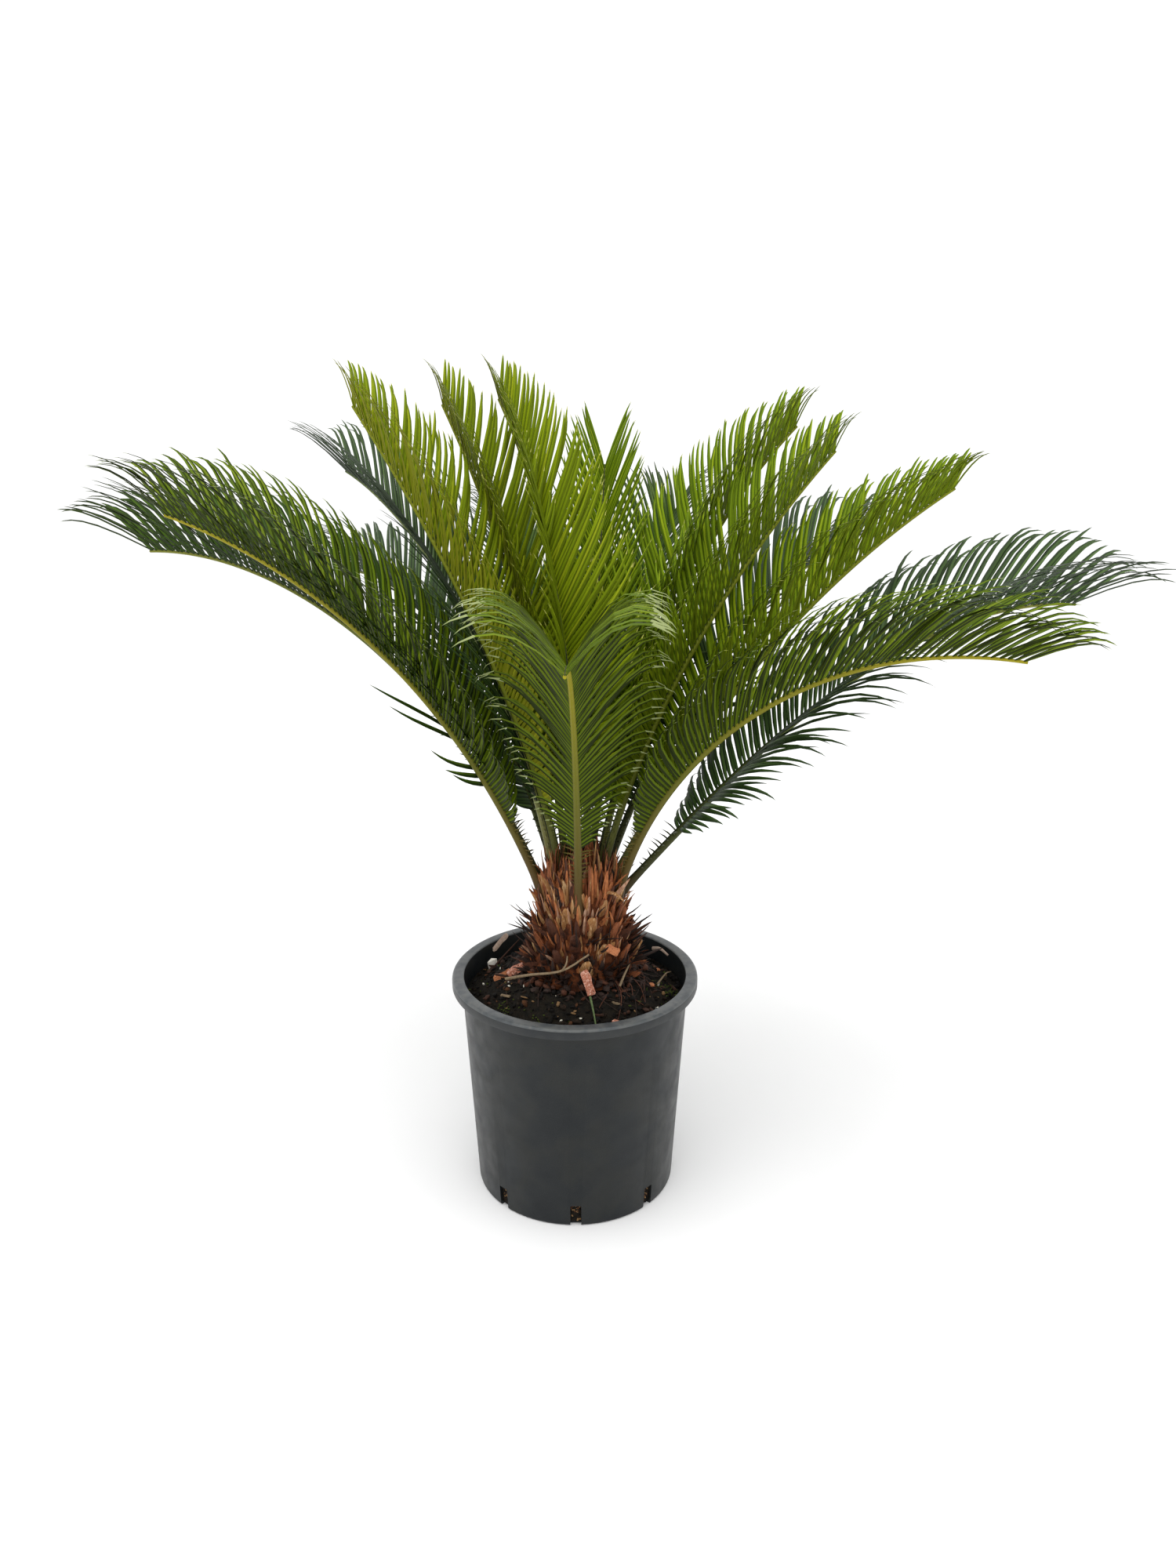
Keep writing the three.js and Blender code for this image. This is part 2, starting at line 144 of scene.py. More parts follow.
bm = bmesh.new()
bmesh.ops.create_grid(bm, x_segments=1, y_segments=1, size=FLOOR_WIDTH / 2)
pale_floor = finish(
    "pale_floor", [0xF6F6F6, 0xFAFAFA], grain=0.5, roughness=(0.8, 0.9), relief=(0.05, 0.0002), gloss=0.2
)
floor = settle("floor", bm, [pale_floor])

sky = bpy.data.worlds.new("sky")
sky.use_nodes = True
sky.node_tree.nodes["Background"].inputs["Color"].default_value = (1, 1, 1, 1)
sky.node_tree.nodes["Background"].inputs["Strength"].default_value = SKY_STRENGTH
scene.world = sky

lamp = bpy.data.objects.new("lamp", bpy.data.lights.new("lamp", "AREA"))
lamp.data.shape = "DISK"
lamp.data.size = LAMP_WIDTH
lamp.data.energy = LAMP_POWER
lamp.location = LAMP_PLACE
lamp.rotation_euler = (-Vector(LAMP_PLACE)).to_track_quat("-Z", "Y").to_euler()
scene.collection.objects.link(lamp)

camera = bpy.data.objects.new("camera", bpy.data.cameras.new("camera"))
camera.data.sensor_fit = "VERTICAL"
camera.data.sensor_height = FILM_HEIGHT
camera.data.lens = LENS
camera.location = CAMERA_PLACE
camera.rotation_euler = (math.radians(90 - CAMERA_DOWN), 0, math.radians(-CAMERA_ASIDE))
scene.collection.objects.link(camera)
scene.camera = camera
scene.view_settings.view_transform = "Standard"

# ---- Pot ----
# A nursery pot, injection-moulded in dark slate plastic: a tapered wall with a rim turned out and
# down, and drain slots cut through its foot. It carries the whole plant and stands on its base.

POT_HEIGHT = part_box("pot")[1].z
RIM_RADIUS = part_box("pot")[1].x
POT_BASE_RADIUS = 0.0986
POT_NECK_RADIUS = 0.1109
POT_WALL = 0.0024
POT_FLOOR = 0.003
RIM_HEIGHT = 0.010
RIM_SKIN = 0.0022
RIM_EDGE = 0.0021
FOOT_RING = 0.012
FOOT_RECESS = 0.0007
POT_STEPS = 128
POT_CREASE = 35
SLOT_COUNT = 8
SLOT_WIDTH = 0.0105
SLOT_HEIGHT = 0.023
SLOT_REACH = 0.005
SLOT_ROUNDING = 0.0012
SAME_PLACE = 1e-6
NEAR = 1e-4


def turn_profile(profile, steps, centre=(0, 0, 0)):
    """A bmesh turned about +Z from pairs of radius and height that start and end on the axis."""
    bm = bmesh.new()
    line = [bm.verts.new(Vector(centre) + Vector((radius, 0, height))) for radius, height in profile]
    edges = [bm.edges.new(pair) for pair in zip(line, line[1:])]
    bmesh.ops.spin(
        bm, geom=line + edges, cent=centre, axis=(0, 0, 1), angle=math.tau, steps=steps, use_merge=True
    )
    bmesh.ops.remove_doubles(bm, verts=bm.verts, dist=SAME_PLACE)
    bmesh.ops.recalc_face_normals(bm, faces=bm.faces)
    return bm


def round_edges(bm, edges, amount, segments):
    bmesh.ops.bevel(
        bm, geom=edges, offset=amount, segments=segments, affect="EDGES", profile=0.5, material=-1
    )


under_rim = POT_HEIGHT - RIM_HEIGHT
rim_inside = RIM_RADIUS - RIM_SKIN
bm = turn_profile(
    [
        (0, FOOT_RECESS),
        (POT_BASE_RADIUS - FOOT_RING - FOOT_RECESS, FOOT_RECESS),
        (POT_BASE_RADIUS - FOOT_RING, 0),
        (POT_BASE_RADIUS, 0),
        (POT_NECK_RADIUS, POT_HEIGHT - RIM_SKIN),
        (rim_inside, POT_HEIGHT - RIM_SKIN),
        (rim_inside, under_rim),
        (RIM_RADIUS, under_rim),
        (RIM_RADIUS, POT_HEIGHT),
        (POT_NECK_RADIUS - POT_WALL, POT_HEIGHT),
        (POT_BASE_RADIUS - POT_WALL, POT_FLOOR),
        (0, POT_FLOOR),
    ],
    POT_STEPS,
)
# The rings that are rounded: radius, height, amount and segments.
ROUNDED_RINGS = [
    (POT_BASE_RADIUS, 0, 0.0026, 4),
    (RIM_RADIUS, POT_HEIGHT, 0.0030, 5),
    (POT_NECK_RADIUS - POT_WALL, POT_HEIGHT, 0.0012, 3),
    (RIM_RADIUS, under_rim, 0.0007, 2),
    (rim_inside, under_rim, 0.0007, 2),
    (rim_inside, POT_HEIGHT - RIM_SKIN, 0.0015, 2),
    (POT_NECK_RADIUS, POT_HEIGHT - RIM_SKIN, 0.0012, 2),
]
for radius, height, amount, segments in ROUNDED_RINGS:
    ring = [
        edge for edge in bm.edges
        if all(math.dist((vert.co.xy.length, vert.co.z), (radius, height)) < NEAR for vert in edge.verts)
    ]
    round_edges(bm, ring, amount, segments)

PLASTIC_RELIEF = (0.0012, 0.00012)
# Each plastic's name, tints, grain, roughness and gloss.
# The rim's tints are lighter than the wall's, and its top edge's lighter still: painted highlight where the
# rim catches the light.
PLASTICS = [
    ("slate_plastic", [0x13171A, 0x171B1D, 0x1E201F, 0x191D1F], 0.05, (0.36, 0.5), 0.24),
    ("rim_plastic", [0x1D2022, 0x232628, 0x2B2D2D, 0x222527], 0.03, (0.34, 0.46), 0.3),
    ("worn_rim_edge", [0x3C4042, 0x484C4E, 0x565857, 0x44484A], 0.012, (0.3, 0.42), 0.4),
]
pot_finishes = [finish(*plastic, PLASTIC_RELIEF, gloss) for *plastic, gloss in PLASTICS]
# The rim and its top edge take the lighter finishes of painted highlight.
for face in bm.faces:
    height = face.calc_center_median().z
    face.material_index = int(height > under_rim - RIM_SKIN) + int(height > POT_HEIGHT - RIM_EDGE)
pot = settle("pot_shell", bm, pot_finishes, POT_CREASE)

bm = bmesh.new()
for k in range(SLOT_COUNT):
    spot = Matrix.Rotation(math.radians(k * 360 / SLOT_COUNT - 90), 4, "Z")
    spot @= Matrix.Translation((POT_BASE_RADIUS, 0, 0))
    spot @= Matrix.Diagonal((2 * SLOT_REACH, SLOT_WIDTH, 2 * SLOT_HEIGHT, 1))
    bmesh.ops.create_cube(bm, size=1, matrix=spot)
tops = [edge for edge in bm.edges if all(vert.co.z > SLOT_HEIGHT - NEAR for vert in edge.verts)]
round_edges(bm, tops, SLOT_ROUNDING, 2)
cutter = settle("slot_cutter", bm, [])
cut = pot.modifiers.new("slots", "BOOLEAN")
cut.operation = "DIFFERENCE"
cut.solver = "EXACT"
cut.object = cutter
mesh = bpy.data.meshes.new_from_object(pot.evaluated_get(bpy.context.evaluated_depsgraph_get()))
pot.modifiers.clear()
pot.data = mesh
pot.data.set_sharp_from_angle(angle=math.radians(POT_CREASE))
bpy.data.objects.remove(cutter)
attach(pot, "root")
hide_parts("pot")

# ---- Potting mix ----
# A dark bark and peat mix that fills the pot to a little below its rim and is heaped round the
# stem. Loose crumbs, bark chips, perlite and moss lie on it, and it shows through the slots.

MIX_EDGE_HEIGHT = 0.199
HEAP_FOOT_HEIGHT = 0.203
HEAP_FOOT_RADIUS = 0.097
MIX_TOP_HEIGHT = 0.225
HEAP_TOP_RADIUS = 0.064
MIX_CLEAR = 0.0007
MIX_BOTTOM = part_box("potting_mix")[0].z
MIX_SIDE_STEPS = 12
MIX_RINGS = 30
MIX_STEPS = 120
MIX_SETTLED = 0.0015
MIX_RELIEF = 0.0034
MIX_LUMP = 0.012
FINER_LUMP = 2.7
FINER_SHARE = 0.35
TRUNK_X = 0.006


def blend(a, b, share):
    return a + (b - a) * share


def inner_radius(height):
    """The pot wall's inner radius, less the mix's clearance."""
    slope = (POT_NECK_RADIUS - POT_BASE_RADIUS) / POT_HEIGHT
    return POT_BASE_RADIUS - POT_WALL + slope * height - MIX_CLEAR


def rough(place, size):
    """A seeded noise from -1 to 1 at a place, with lumps of this size and finer ones on them."""
    spot = Vector(place) / size
    return (1 - FINER_SHARE) * noise.noise(spot) + FINER_SHARE * noise.noise(spot * FINER_LUMP)


def mix_height(x, y):
    """Height of the mix's surface, heaped round the stem and rough."""
    radii = (HEAP_TOP_RADIUS, HEAP_FOOT_RADIUS, inner_radius(MIX_EDGE_HEIGHT))
    level = np.interp(math.hypot(x, y), radii, (MIX_TOP_HEIGHT, HEAP_FOOT_HEIGHT, MIX_EDGE_HEIGHT))
    return level - MIX_SETTLED + MIX_RELIEF * rough((x, y, 0), MIX_LUMP)


edge = inner_radius(MIX_EDGE_HEIGHT)
heights = np.linspace(MIX_BOTTOM, MIX_EDGE_HEIGHT, MIX_SIDE_STEPS)
side = [(inner_radius(height), height) for height in heights]
top = [(edge * (1 - k / MIX_RINGS), MIX_TOP_HEIGHT) for k in range(1, MIX_RINGS + 1)]
bm = turn_profile([(0, MIX_BOTTOM)] + side + top, MIX_STEPS)
for vert in bm.verts:
    if vert.co.z > MIX_TOP_HEIGHT - NEAR:
        vert.co.z = mix_height(vert.co.x, vert.co.y)
PEAT_TINTS = [0x0B0A07, 0x15120D, 0x1C1710, 0x100F0B]
peat = finish("peat", PEAT_TINTS, grain=0.006, roughness=(0.8, 1.0), relief=(0.002, 0.0016), gloss=0.15)
mix = settle("potting_mix_body", bm, [peat], crease=60)
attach(mix, "root")
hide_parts("potting_mix")


class Bundle:
    """Many small closed forms gathered into one mesh. Each face has the number of its finish, and
    each point a value that an attribute may hold."""

    def __init__(self):
        self.points, self.faces, self.finishes, self.values = [], [], [], []

    def add(self, form, finishes, values=0.0):
        points, faces = form
        start = len(self.points)
        self.points.extend(points.tolist())
        self.faces.extend([start + corner for corner in face] for face in faces)
        self.finishes.extend([finishes] * len(faces) if isinstance(finishes, int) else finishes)
        self.values.extend([values] * len(points) if isinstance(values, float) else values)

    def piece(self, name, finishes, crease, attribute=None):
        mesh = bpy.data.meshes.new(name)
        mesh.from_pydata(self.points, [], self.faces)
        mesh.polygons.foreach_set("material_index", self.finishes)
        if attribute:
            layer = mesh.attributes.new(attribute, "FLOAT", "POINT")
            layer.data.foreach_set("value", self.values)
        return set_out(name, mesh, finishes, crease)


# A lump of twenty faces, one across, which every crumb and clod is made from.
LUMP_DENTS = (0.75, 1.2)
bm = bmesh.new()
bmesh.ops.create_icosphere(bm, subdivisions=1, radius=0.5)
lump_points = np.array([vert.co for vert in bm.verts])
lump_faces = [[vert.index for vert in face.verts] for face in bm.faces]
bm.free()


def strew(bundle, chance, place, size, number):
    """Adds a lump of this size at a place, randomly turned and dented."""
    dents = np.array([chance.uniform(*LUMP_DENTS) for _ in lump_points])[:, None]
    axis = Vector([chance.gauss(0, 1) for _ in range(3)])
    turn = np.array(Matrix.Rotation(chance.uniform(0, math.tau), 3, axis)) @ np.diag(size)
    bundle.add((lump_points * dents @ turn.T + np.array(place), lump_faces), number)


CRUMB_TINTS = [
    ("crumb_black", [0x0A0806, 0x120F0C]),
    ("crumb_brown", [0x1A130C, 0x261B11]),
    ("crumb_russet", [0x402718, 0x54351F]),
    ("crumb_tan", [0x6B5238, 0x8A6C48]),
    ("perlite", [0xC9C4B4, 0xE2DECF]),
    ("moss", [0x2C3510, 0x47521C]),
]
crumb_finishes = [
    finish(*tints, grain=0.003, roughness=(0.75, 1.0), relief=(0.001, 0.0004), gloss=0.2)
    for tints in CRUMB_TINTS
]
PERLITE = 4
MOSS = 5
# How often each tint is taken, by its number in that list.
CRUMB_MIX = [0] * 68 + [1] * 20 + [2] * 3 + [3] * 3 + [PERLITE] + [MOSS] * 5
SLOT_MIX = [0, 1, 2, 3, 3]
CRUMB_COUNT = 1900
CRUMBS_FROM_STEM = 0.05
CRUMBS_BARE_MIDDLE = 0.08
CRUMBS_REACH = 0.107
CRUMBS_EDGE = 0.1085
SHORTEST_CRUMB = 0.0012
CRUMB_SPREAD = 0.0045
LONGEST_PALE_CRUMB = 0.0028
CRUMB_STRETCH = (1, 2.2)
CRUMB_FLATNESS = (0.4, 0.9)
CRUMB_PERCH = 0.3
PERLITE_SIZE = (0.0035, 0.0028, 0.0024)
PERLITE_PERCH = 0.001
PERLITE_PLACES = [
    (-0.057, -0.021), (-0.063, -0.032), (-0.013, -0.083), (0.081, -0.014), (0.03, -0.09), (-0.09, 0.0),
]
MOSS_SIZE = (0.0024, 0.0016, 0.0016)
MOSS_PATCHES = [(-0.069, -0.058), (-0.038, -0.088), (0.092, -0.014), (0.05, 0.082), (-0.05, 0.085)]
MOSS_TUFTS = 60
MOSS_SPREAD = 0.006
MOSS_REACH = 0.105
MOSS_PERCH = 0.0006
SLOT_CRUMBS = 26
SLOT_CRUMB_SIZE = (0.0036, 0.0028, 0.0022)
SLOT_CRUMB_RADII = (0.0950, 0.0962)
SLOT_CRUMB_ASIDE = 0.42 * SLOT_WIDTH
SLOT_CRUMB_CLEAR = 0.002

crumbs = Bundle()
chance = random.Random(5)
for _ in range(CRUMB_COUNT):
    radius = CRUMBS_REACH * math.sqrt(chance.uniform(CRUMBS_BARE_MIDDLE, 1))
    heading = chance.uniform(0, math.tau)
    x, y = radius * math.cos(heading), radius * math.sin(heading)
    if math.hypot(x - TRUNK_X, y) < CRUMBS_FROM_STEM:
        continue
    number = chance.choice(CRUMB_MIX)
    length = SHORTEST_CRUMB + CRUMB_SPREAD * chance.random() ** 3
    if number in (PERLITE, MOSS):
        length = min(length, LONGEST_PALE_CRUMB)
    size = (length * chance.uniform(*CRUMB_STRETCH), length, length * chance.uniform(*CRUMB_FLATNESS))
    if radius + max(size) / 2 > CRUMBS_EDGE:
        continue
    strew(crumbs, chance, (x, y, mix_height(x, y) + CRUMB_PERCH * length), size, number)
for x, y in PERLITE_PLACES:
    strew(crumbs, chance, (x, y, mix_height(x, y) + PERLITE_PERCH), PERLITE_SIZE, PERLITE)
for x, y in MOSS_PATCHES:
    for _ in range(MOSS_TUFTS):
        a, b = x + chance.gauss(0, MOSS_SPREAD), y + chance.gauss(0, MOSS_SPREAD)
        if math.hypot(a, b) < MOSS_REACH:
            strew(crumbs, chance, (a, b, mix_height(a, b) + MOSS_PERCH), MOSS_SIZE, MOSS)
for k in range(SLOT_COUNT):
    heading = math.radians(k * 360 / SLOT_COUNT - 90)
    for _ in range(SLOT_CRUMBS):
        out = blend(*SLOT_CRUMB_RADII, chance.random())
        aside = chance.uniform(-SLOT_CRUMB_ASIDE, SLOT_CRUMB_ASIDE)
        height = chance.uniform(MIX_BOTTOM + SLOT_CRUMB_CLEAR, SLOT_HEIGHT - SLOT_CRUMB_CLEAR)
        x = out * math.cos(heading) - aside * math.sin(heading)
        y = out * math.sin(heading) + aside * math.cos(heading)
        strew(crumbs, chance, (x, y, height), SLOT_CRUMB_SIZE, chance.choice(SLOT_MIX))
crumbs = crumbs.piece("mix_crumbs", crumb_finishes, crease=70)
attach(crumbs, "root")

# ---- Chips and twigs on the mix ----
# The larger bits that lie round the stem: a white pebble, bark chunks, split chips of orange and
# salmon wood, pale sticks, a curved twig across the stem's foot and one thin green shoot.


def loft(rings, tip=None):
    """A closed form through rings of points, which ends in a tip or flat. Its faces point out."""
    count, corners = rings.shape[:2]
    turn = np.cross(rings[0][1] - rings[0][0], rings[0][2] - rings[0][1])
    facing = np.dot(turn, rings[1].mean(0) - rings[0].mean(0)) > 0
    points = rings.reshape(-1, 3)
    faces = [list(range(corners))[::-1]]
    for r in range(0, (count - 1) * corners, corners):
        for i in range(corners):
            after = (i + 1) % corners
            faces.append([r + i, r + after, r + corners + after, r + corners + i])
    last = (count - 1) * corners
    if tip is None:
        faces.append([last + i for i in range(corners)])
    else:
        points = np.vstack([points, tip])
        faces += [[last + i, last + (i + 1) % corners, last + corners] for i in range(corners)]
    return points, faces if facing else [face[::-1] for face in faces]


def smooth_path(points, count):
    """Places at even steps along a smooth curve through a few points."""
    points = [np.array(point, float) for point in points]
    points = [2 * points[0] - points[1]] + points + [2 * points[-1] - points[-2]]
    places = []
    spans = len(points) - 3
    for k in range(count):
        at = k / (count - 1) * spans
        i = min(int(at), spans - 1)
        t = at - i
        a, b, c, d = points[i : i + 4]
        places.append(
            0.5 * (2 * b + (c - a) * t + (2 * a - 5 * b + 4 * c - d) * t**2 + (3 * b - a - 3 * c + d) * t**3)
        )
    return np.array(places)


STEEP = 0.8


def rod(path, radii, sides=7):
    """A tapering round form along a path, with a radius at each place."""
    heading = np.gradient(path, axis=0)
    heading /= np.linalg.norm(heading, axis=1)[:, None]
    guide = np.array([0, 0, 1.0]) if abs(heading[0][2]) < STEEP else np.array([1.0, 0, 0])
    aside = np.cross(heading, guide)
    aside /= np.linalg.norm(aside, axis=1)[:, None]
    above = np.cross(aside, heading)
    rings = []
    for k in range(sides):
        angle = math.tau * k / sides
        rings.append(path + (aside * math.cos(angle) + above * math.sin(angle)) * np.array(radii)[:, None])
    return loft(np.stack(rings, axis=1))


def round_stem(radius, heading):
    """The x and y at this distance and heading from the stem's axis."""
    return TRUNK_X + radius * math.cos(heading), radius * math.sin(heading)


CHIP_SHARES = (0, 0.08, 0.3, 0.55, 0.8, 0.95, 1)
CHIP_CORNERS = ((-1, -0.6), (-1, 0.7), (-0.3, 1), (0.4, 0.8), (1, 0.5), (0.9, -0.8))
CHIP_JAGS = (0.8, 1.15)
CHIP_END = 0.6
CHIP_SLANT = 0.05


def chip(start, end, width, thickness, facing, chance):
    """A split of bark or wood from one point to another, with ragged ends and sides. Facing is
    the way that its broad side turns."""
    start, end = np.array(start), np.array(end)
    along = end - start
    aside = np.cross(along, facing)
    aside /= np.linalg.norm(aside)
    above = np.cross(aside, along)
    above /= np.linalg.norm(above)
    rings = []
    for share in CHIP_SHARES:
        at_end = share in (0, 1)
        ring = []
        for wide, deep in CHIP_CORNERS:
            jag = chance.uniform(*CHIP_JAGS) * (CHIP_END if at_end else 1)
            slant = along * (share + CHIP_SLANT * chance.uniform(-1, 1) * at_end)
            ring.append(start + slant + aside * wide * jag * width / 2 + above * deep * jag * thickness / 2)
        rings.append(ring)
    return loft(np.array(rings))


BIT_TINTS = [
    ("white_stone", [0xD8D2C4, 0xEFEAE0]),
    ("orange_bark", [0x9A5636, 0xB87850, 0x7A4028]),
    ("salmon_wood", [0xBC7E66, 0x985A44, 0xDCB09C]),
    ("pale_wood", [0xA08878, 0xBCA898]),
    ("grey_twig", [0x6E5C46, 0x8C7A60]),
    ("green_shoot", [0x4A5A38, 0x64744A]),
    ("dark_bark", [0x2C1C14, 0x44291C]),
]
bit_finishes = [
    finish(*tints, grain=0.002, roughness=(0.7, 0.95), relief=(0.001, 0.0005), gloss=0.25)
    for tints in BIT_TINTS
]
STONE_PLACE = (-0.084, 0.040, 0.2085)
STONE_SIZE = (0.017, 0.013, 0.012)
UP = (0.1, 0.2, 1.0)
TO_FRONT = (0.2, -1.0, 0.6)
# The two ends of each large chip, its width, thickness and facing, and its tint's number.
CHIPS = [
    ((-0.077, 0.000, 0.212), (-0.062, -0.010, 0.224), 0.014, 0.009, UP, 1),
    ((-0.064, -0.010, 0.222), (-0.047, -0.012, 0.234), 0.015, 0.009, UP, 2),
    ((0.008, -0.062, 0.251), (0.016, -0.068, 0.229), 0.0085, 0.002, TO_FRONT, 2),
    ((0.029, -0.046, 0.267), (0.041, -0.048, 0.262), 0.008, 0.003, TO_FRONT, 1),
    ((0.034, -0.083, 0.2105), (0.046, -0.088, 0.2085), 0.008, 0.003, UP, 2),
    ((-0.084, 0.061, 0.214), (-0.070, 0.068, 0.229), 0.005, 0.003, TO_FRONT, 3),
    ((-0.014, -0.099, 0.2035), (-0.004, -0.1, 0.2035), 0.006, 0.003, UP, 3),
]
# The places along each twig, its radius and its tint's number.
TWIGS = [
    (
        [(-0.066, -0.03, 0.227), (-0.043, -0.046, 0.239), (-0.012, -0.062, 0.251), (0.013, -0.057, 0.265)],
        0.0014, 4,
    ),
    ([(-0.012, -0.062, 0.251), (-0.008, -0.062, 0.258), (-0.007, -0.058, 0.264)], 0.0009, 4),
    ([(0.014, -0.069, 0.228), (0.017, -0.079, 0.217), (0.020, -0.096, 0.205)], 0.0010, 5),
    ([(0.080, 0.053, 0.219), (0.087, 0.048, 0.221), (0.095, 0.043, 0.216)], 0.0019, 3),
    ([(0.042, -0.050, 0.229), (0.047, -0.043, 0.238), (0.052, -0.030, 0.242)], 0.0012, 4),
    ([(0.080, -0.020, 0.216), (0.090, 0.006, 0.214), (0.096, 0.020, 0.209)], 0.0009, 4),
    ([(-0.080, 0.026, 0.214), (-0.066, 0.042, 0.224), (-0.056, 0.050, 0.232)], 0.0010, 6),
]
TWIG_STEPS = 12
TWIG_TAPER = (1.1, 0.6)
LOOSE_CHIPS = 46
LOOSE_RADII = (0.066, 0.1)
LOOSE_REACH = 0.105
LOOSE_LENGTHS = (0.005, 0.012)
LOOSE_SLIMNESS = 0.45
LOOSE_THICKNESS = 0.0022
LOOSE_PERCH = 0.0012
LOOSE_RISE = (-0.001, 0.003)
LOOSE_MIX = [6] * 9 + [1, 4]

chance = random.Random(9)
bits = Bundle()
strew(bits, chance, STONE_PLACE, STONE_SIZE, 0)
for *sizes, number in CHIPS:
    bits.add(chip(*sizes, chance), number)
for points, thick, number in TWIGS:
    radii = [thick * blend(*TWIG_TAPER, k / (TWIG_STEPS - 1)) for k in range(TWIG_STEPS)]
    bits.add(rod(smooth_path(points, TWIG_STEPS), radii), number)
for _ in range(LOOSE_CHIPS):
    heading = chance.uniform(0, math.tau)
    radius = chance.uniform(*LOOSE_RADII)
    x, y = round_stem(radius, heading)
    if math.hypot(x, y) > LOOSE_RADII[1]:
        continue
    turn = chance.uniform(0, math.tau)
    length = chance.uniform(*LOOSE_LENGTHS)
    level = mix_height(x, y) + LOOSE_PERCH
    far = (x + length * math.cos(turn), y + length * math.sin(turn), level + chance.uniform(*LOOSE_RISE))
    if math.hypot(*far[:2]) < LOOSE_REACH:
        form = chip((x, y, level), far, length * LOOSE_SLIMNESS, LOOSE_THICKNESS, UP, chance)
        bits.add(form, chance.choice(LOOSE_MIX))
bits = bits.piece("chips_and_twigs", bit_finishes, crease=35)
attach(bits, "root")

# ---- Trunk ----
# The squat woody stem, a caudex that tapers up to a domed crown. Its skin keeps the spiral of
# scars that old fronds left, and its foot flares where it goes into the mix.

TRUNK_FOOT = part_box("trunk")[0].z
TRUNK_HEIGHT = 0.098
FOOT_RADIUS = 0.050
FLARE = 0.004
FLARE_HEIGHT = 0.018
WAIST_RADIUS = 0.038
DOME_HEIGHT = 0.030
GOLDEN_ANGLE = math.radians(137.508)
STEM_RINGS = 46
STEM_STEPS = 132
STEM_RELIEF = 0.0012
STEM_LUMP = 0.004
SCAR_COUNT = 130
SCAR_RELIEF = 0.0022
SCAR_WIDTH = 0.006


def trunk_radius(height):
    dome_foot = TRUNK_HEIGHT - DOME_HEIGHT
    flare = FLARE * max(0, 1 - height / FLARE_HEIGHT) ** 2
    taper = blend(FOOT_RADIUS, WAIST_RADIUS, min(1, height / dome_foot))
    into_dome = max(0, (height - dome_foot) / DOME_HEIGHT)
    return (taper + flare) * math.sqrt(max(0, 1 - into_dome**2))


def on_trunk(heading, height, out=0.0):
    """A place on the trunk's skin, or this far out from it."""
    return np.array([*round_stem(trunk_radius(height) + out, heading), TRUNK_FOOT + height])


heights = [TRUNK_HEIGHT * math.sin(k / STEM_RINGS * math.pi / 2) for k in range(STEM_RINGS + 1)]
outline = [(0, 0)] + [(trunk_radius(height), height) for height in heights]
bm = turn_profile(outline, STEM_STEPS, (TRUNK_X, 0, TRUNK_FOOT))
scars = kdtree.KDTree(SCAR_COUNT)
for k in range(SCAR_COUNT):
    scars.insert(on_trunk(k * GOLDEN_ANGLE, TRUNK_HEIGHT * (k + 0.5) / SCAR_COUNT), k)
scars.balance()
for vert in bm.verts:
    if vert.co.z > TRUNK_FOOT + NEAR:
        gap = scars.find(vert.co)[2]
        raised = SCAR_RELIEF * (1 - min(1, gap / SCAR_WIDTH)) - SCAR_RELIEF / 2
        vert.co += vert.normal * (raised + STEM_RELIEF * rough(vert.co, STEM_LUMP))
STEM_TINTS = [0x2A150C, 0x4A2614, 0x6B3A1E, 0x38200F]
skin = finish(
    "stem_skin", STEM_TINTS, grain=0.008, roughness=(0.8, 1.0), relief=(0.0015, 0.0008), gloss=0.2
)
stem = settle("stem", bm, [skin], crease=60)
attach(stem, "root")
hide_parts("trunk")

# ---- Leaf bases and scales ----
# What clothes the stem: the woody stubs of old fronds in their spiral, papery pointed scales between
# and above them, stiff dark spikes, and a ragged skirt of dead scales, clods and roots on the mix.

SCALE_SHARES = np.array([0, 0.15, 0.35, 0.58, 0.78, 0.92, 1.0])
SCALE_WIDTHS = np.array([0.8, 1.0, 1.0, 0.82, 0.56, 0.3, 0.0])
SCALE_DEPTHS = np.array([1.0, 0.9, 0.75, 0.6, 0.45, 0.3, 0.0])
SCALE_SINK = 0.004
SCALE_CURL_POWER = 1.4
UPPER_DEPTH = 0.65
UPRIGHT = np.array([0, 0, 1.0])


def blade(path, broad, above, widths, depths):
    """A closed pointed blade along a path. Broad points across it and above is its upper side.
    Its faces start with the root, and then go near upper, far upper, far lower, near lower."""
    half = (np.array(widths) / 2)[:, None]
    deep = np.array(depths)[:, None]
    upper = path + above * deep * UPPER_DEPTH
    lower = path - above * deep * (1 - UPPER_DEPTH)
    rings = [path + broad * half, upper, path - broad * half, lower]
    return loft(np.stack(rings, axis=1)[:-1], path[-1])


def bent_path(start, ahead, above, length, tilts, shares):
    """Places along a blade that starts at a point, and the upper side's direction at each. Tilts
    are its angles from ahead towards above at each share of its length."""
    steps = np.diff(shares, prepend=0.0)[:, None] * length
    tilts = np.array(tilts)[:, None]
    middle = (tilts + np.vstack([tilts[:1], tilts[:-1]])) / 2
    path = start + np.cumsum(steps * (np.cos(middle) * ahead + np.sin(middle) * above), axis=0)
    return path, np.cos(tilts) * above - np.sin(tilts) * ahead


def stance(heading, lean):
    """The directions across, ahead and above of what leans out from upright by this angle."""
    out = np.array([math.cos(heading), math.sin(heading), 0])
    across = np.array([-math.sin(heading), math.cos(heading), 0])
    ahead = math.cos(lean) * UPRIGHT + math.sin(lean) * out
    return across, ahead, math.cos(lean) * out - math.sin(lean) * UPRIGHT


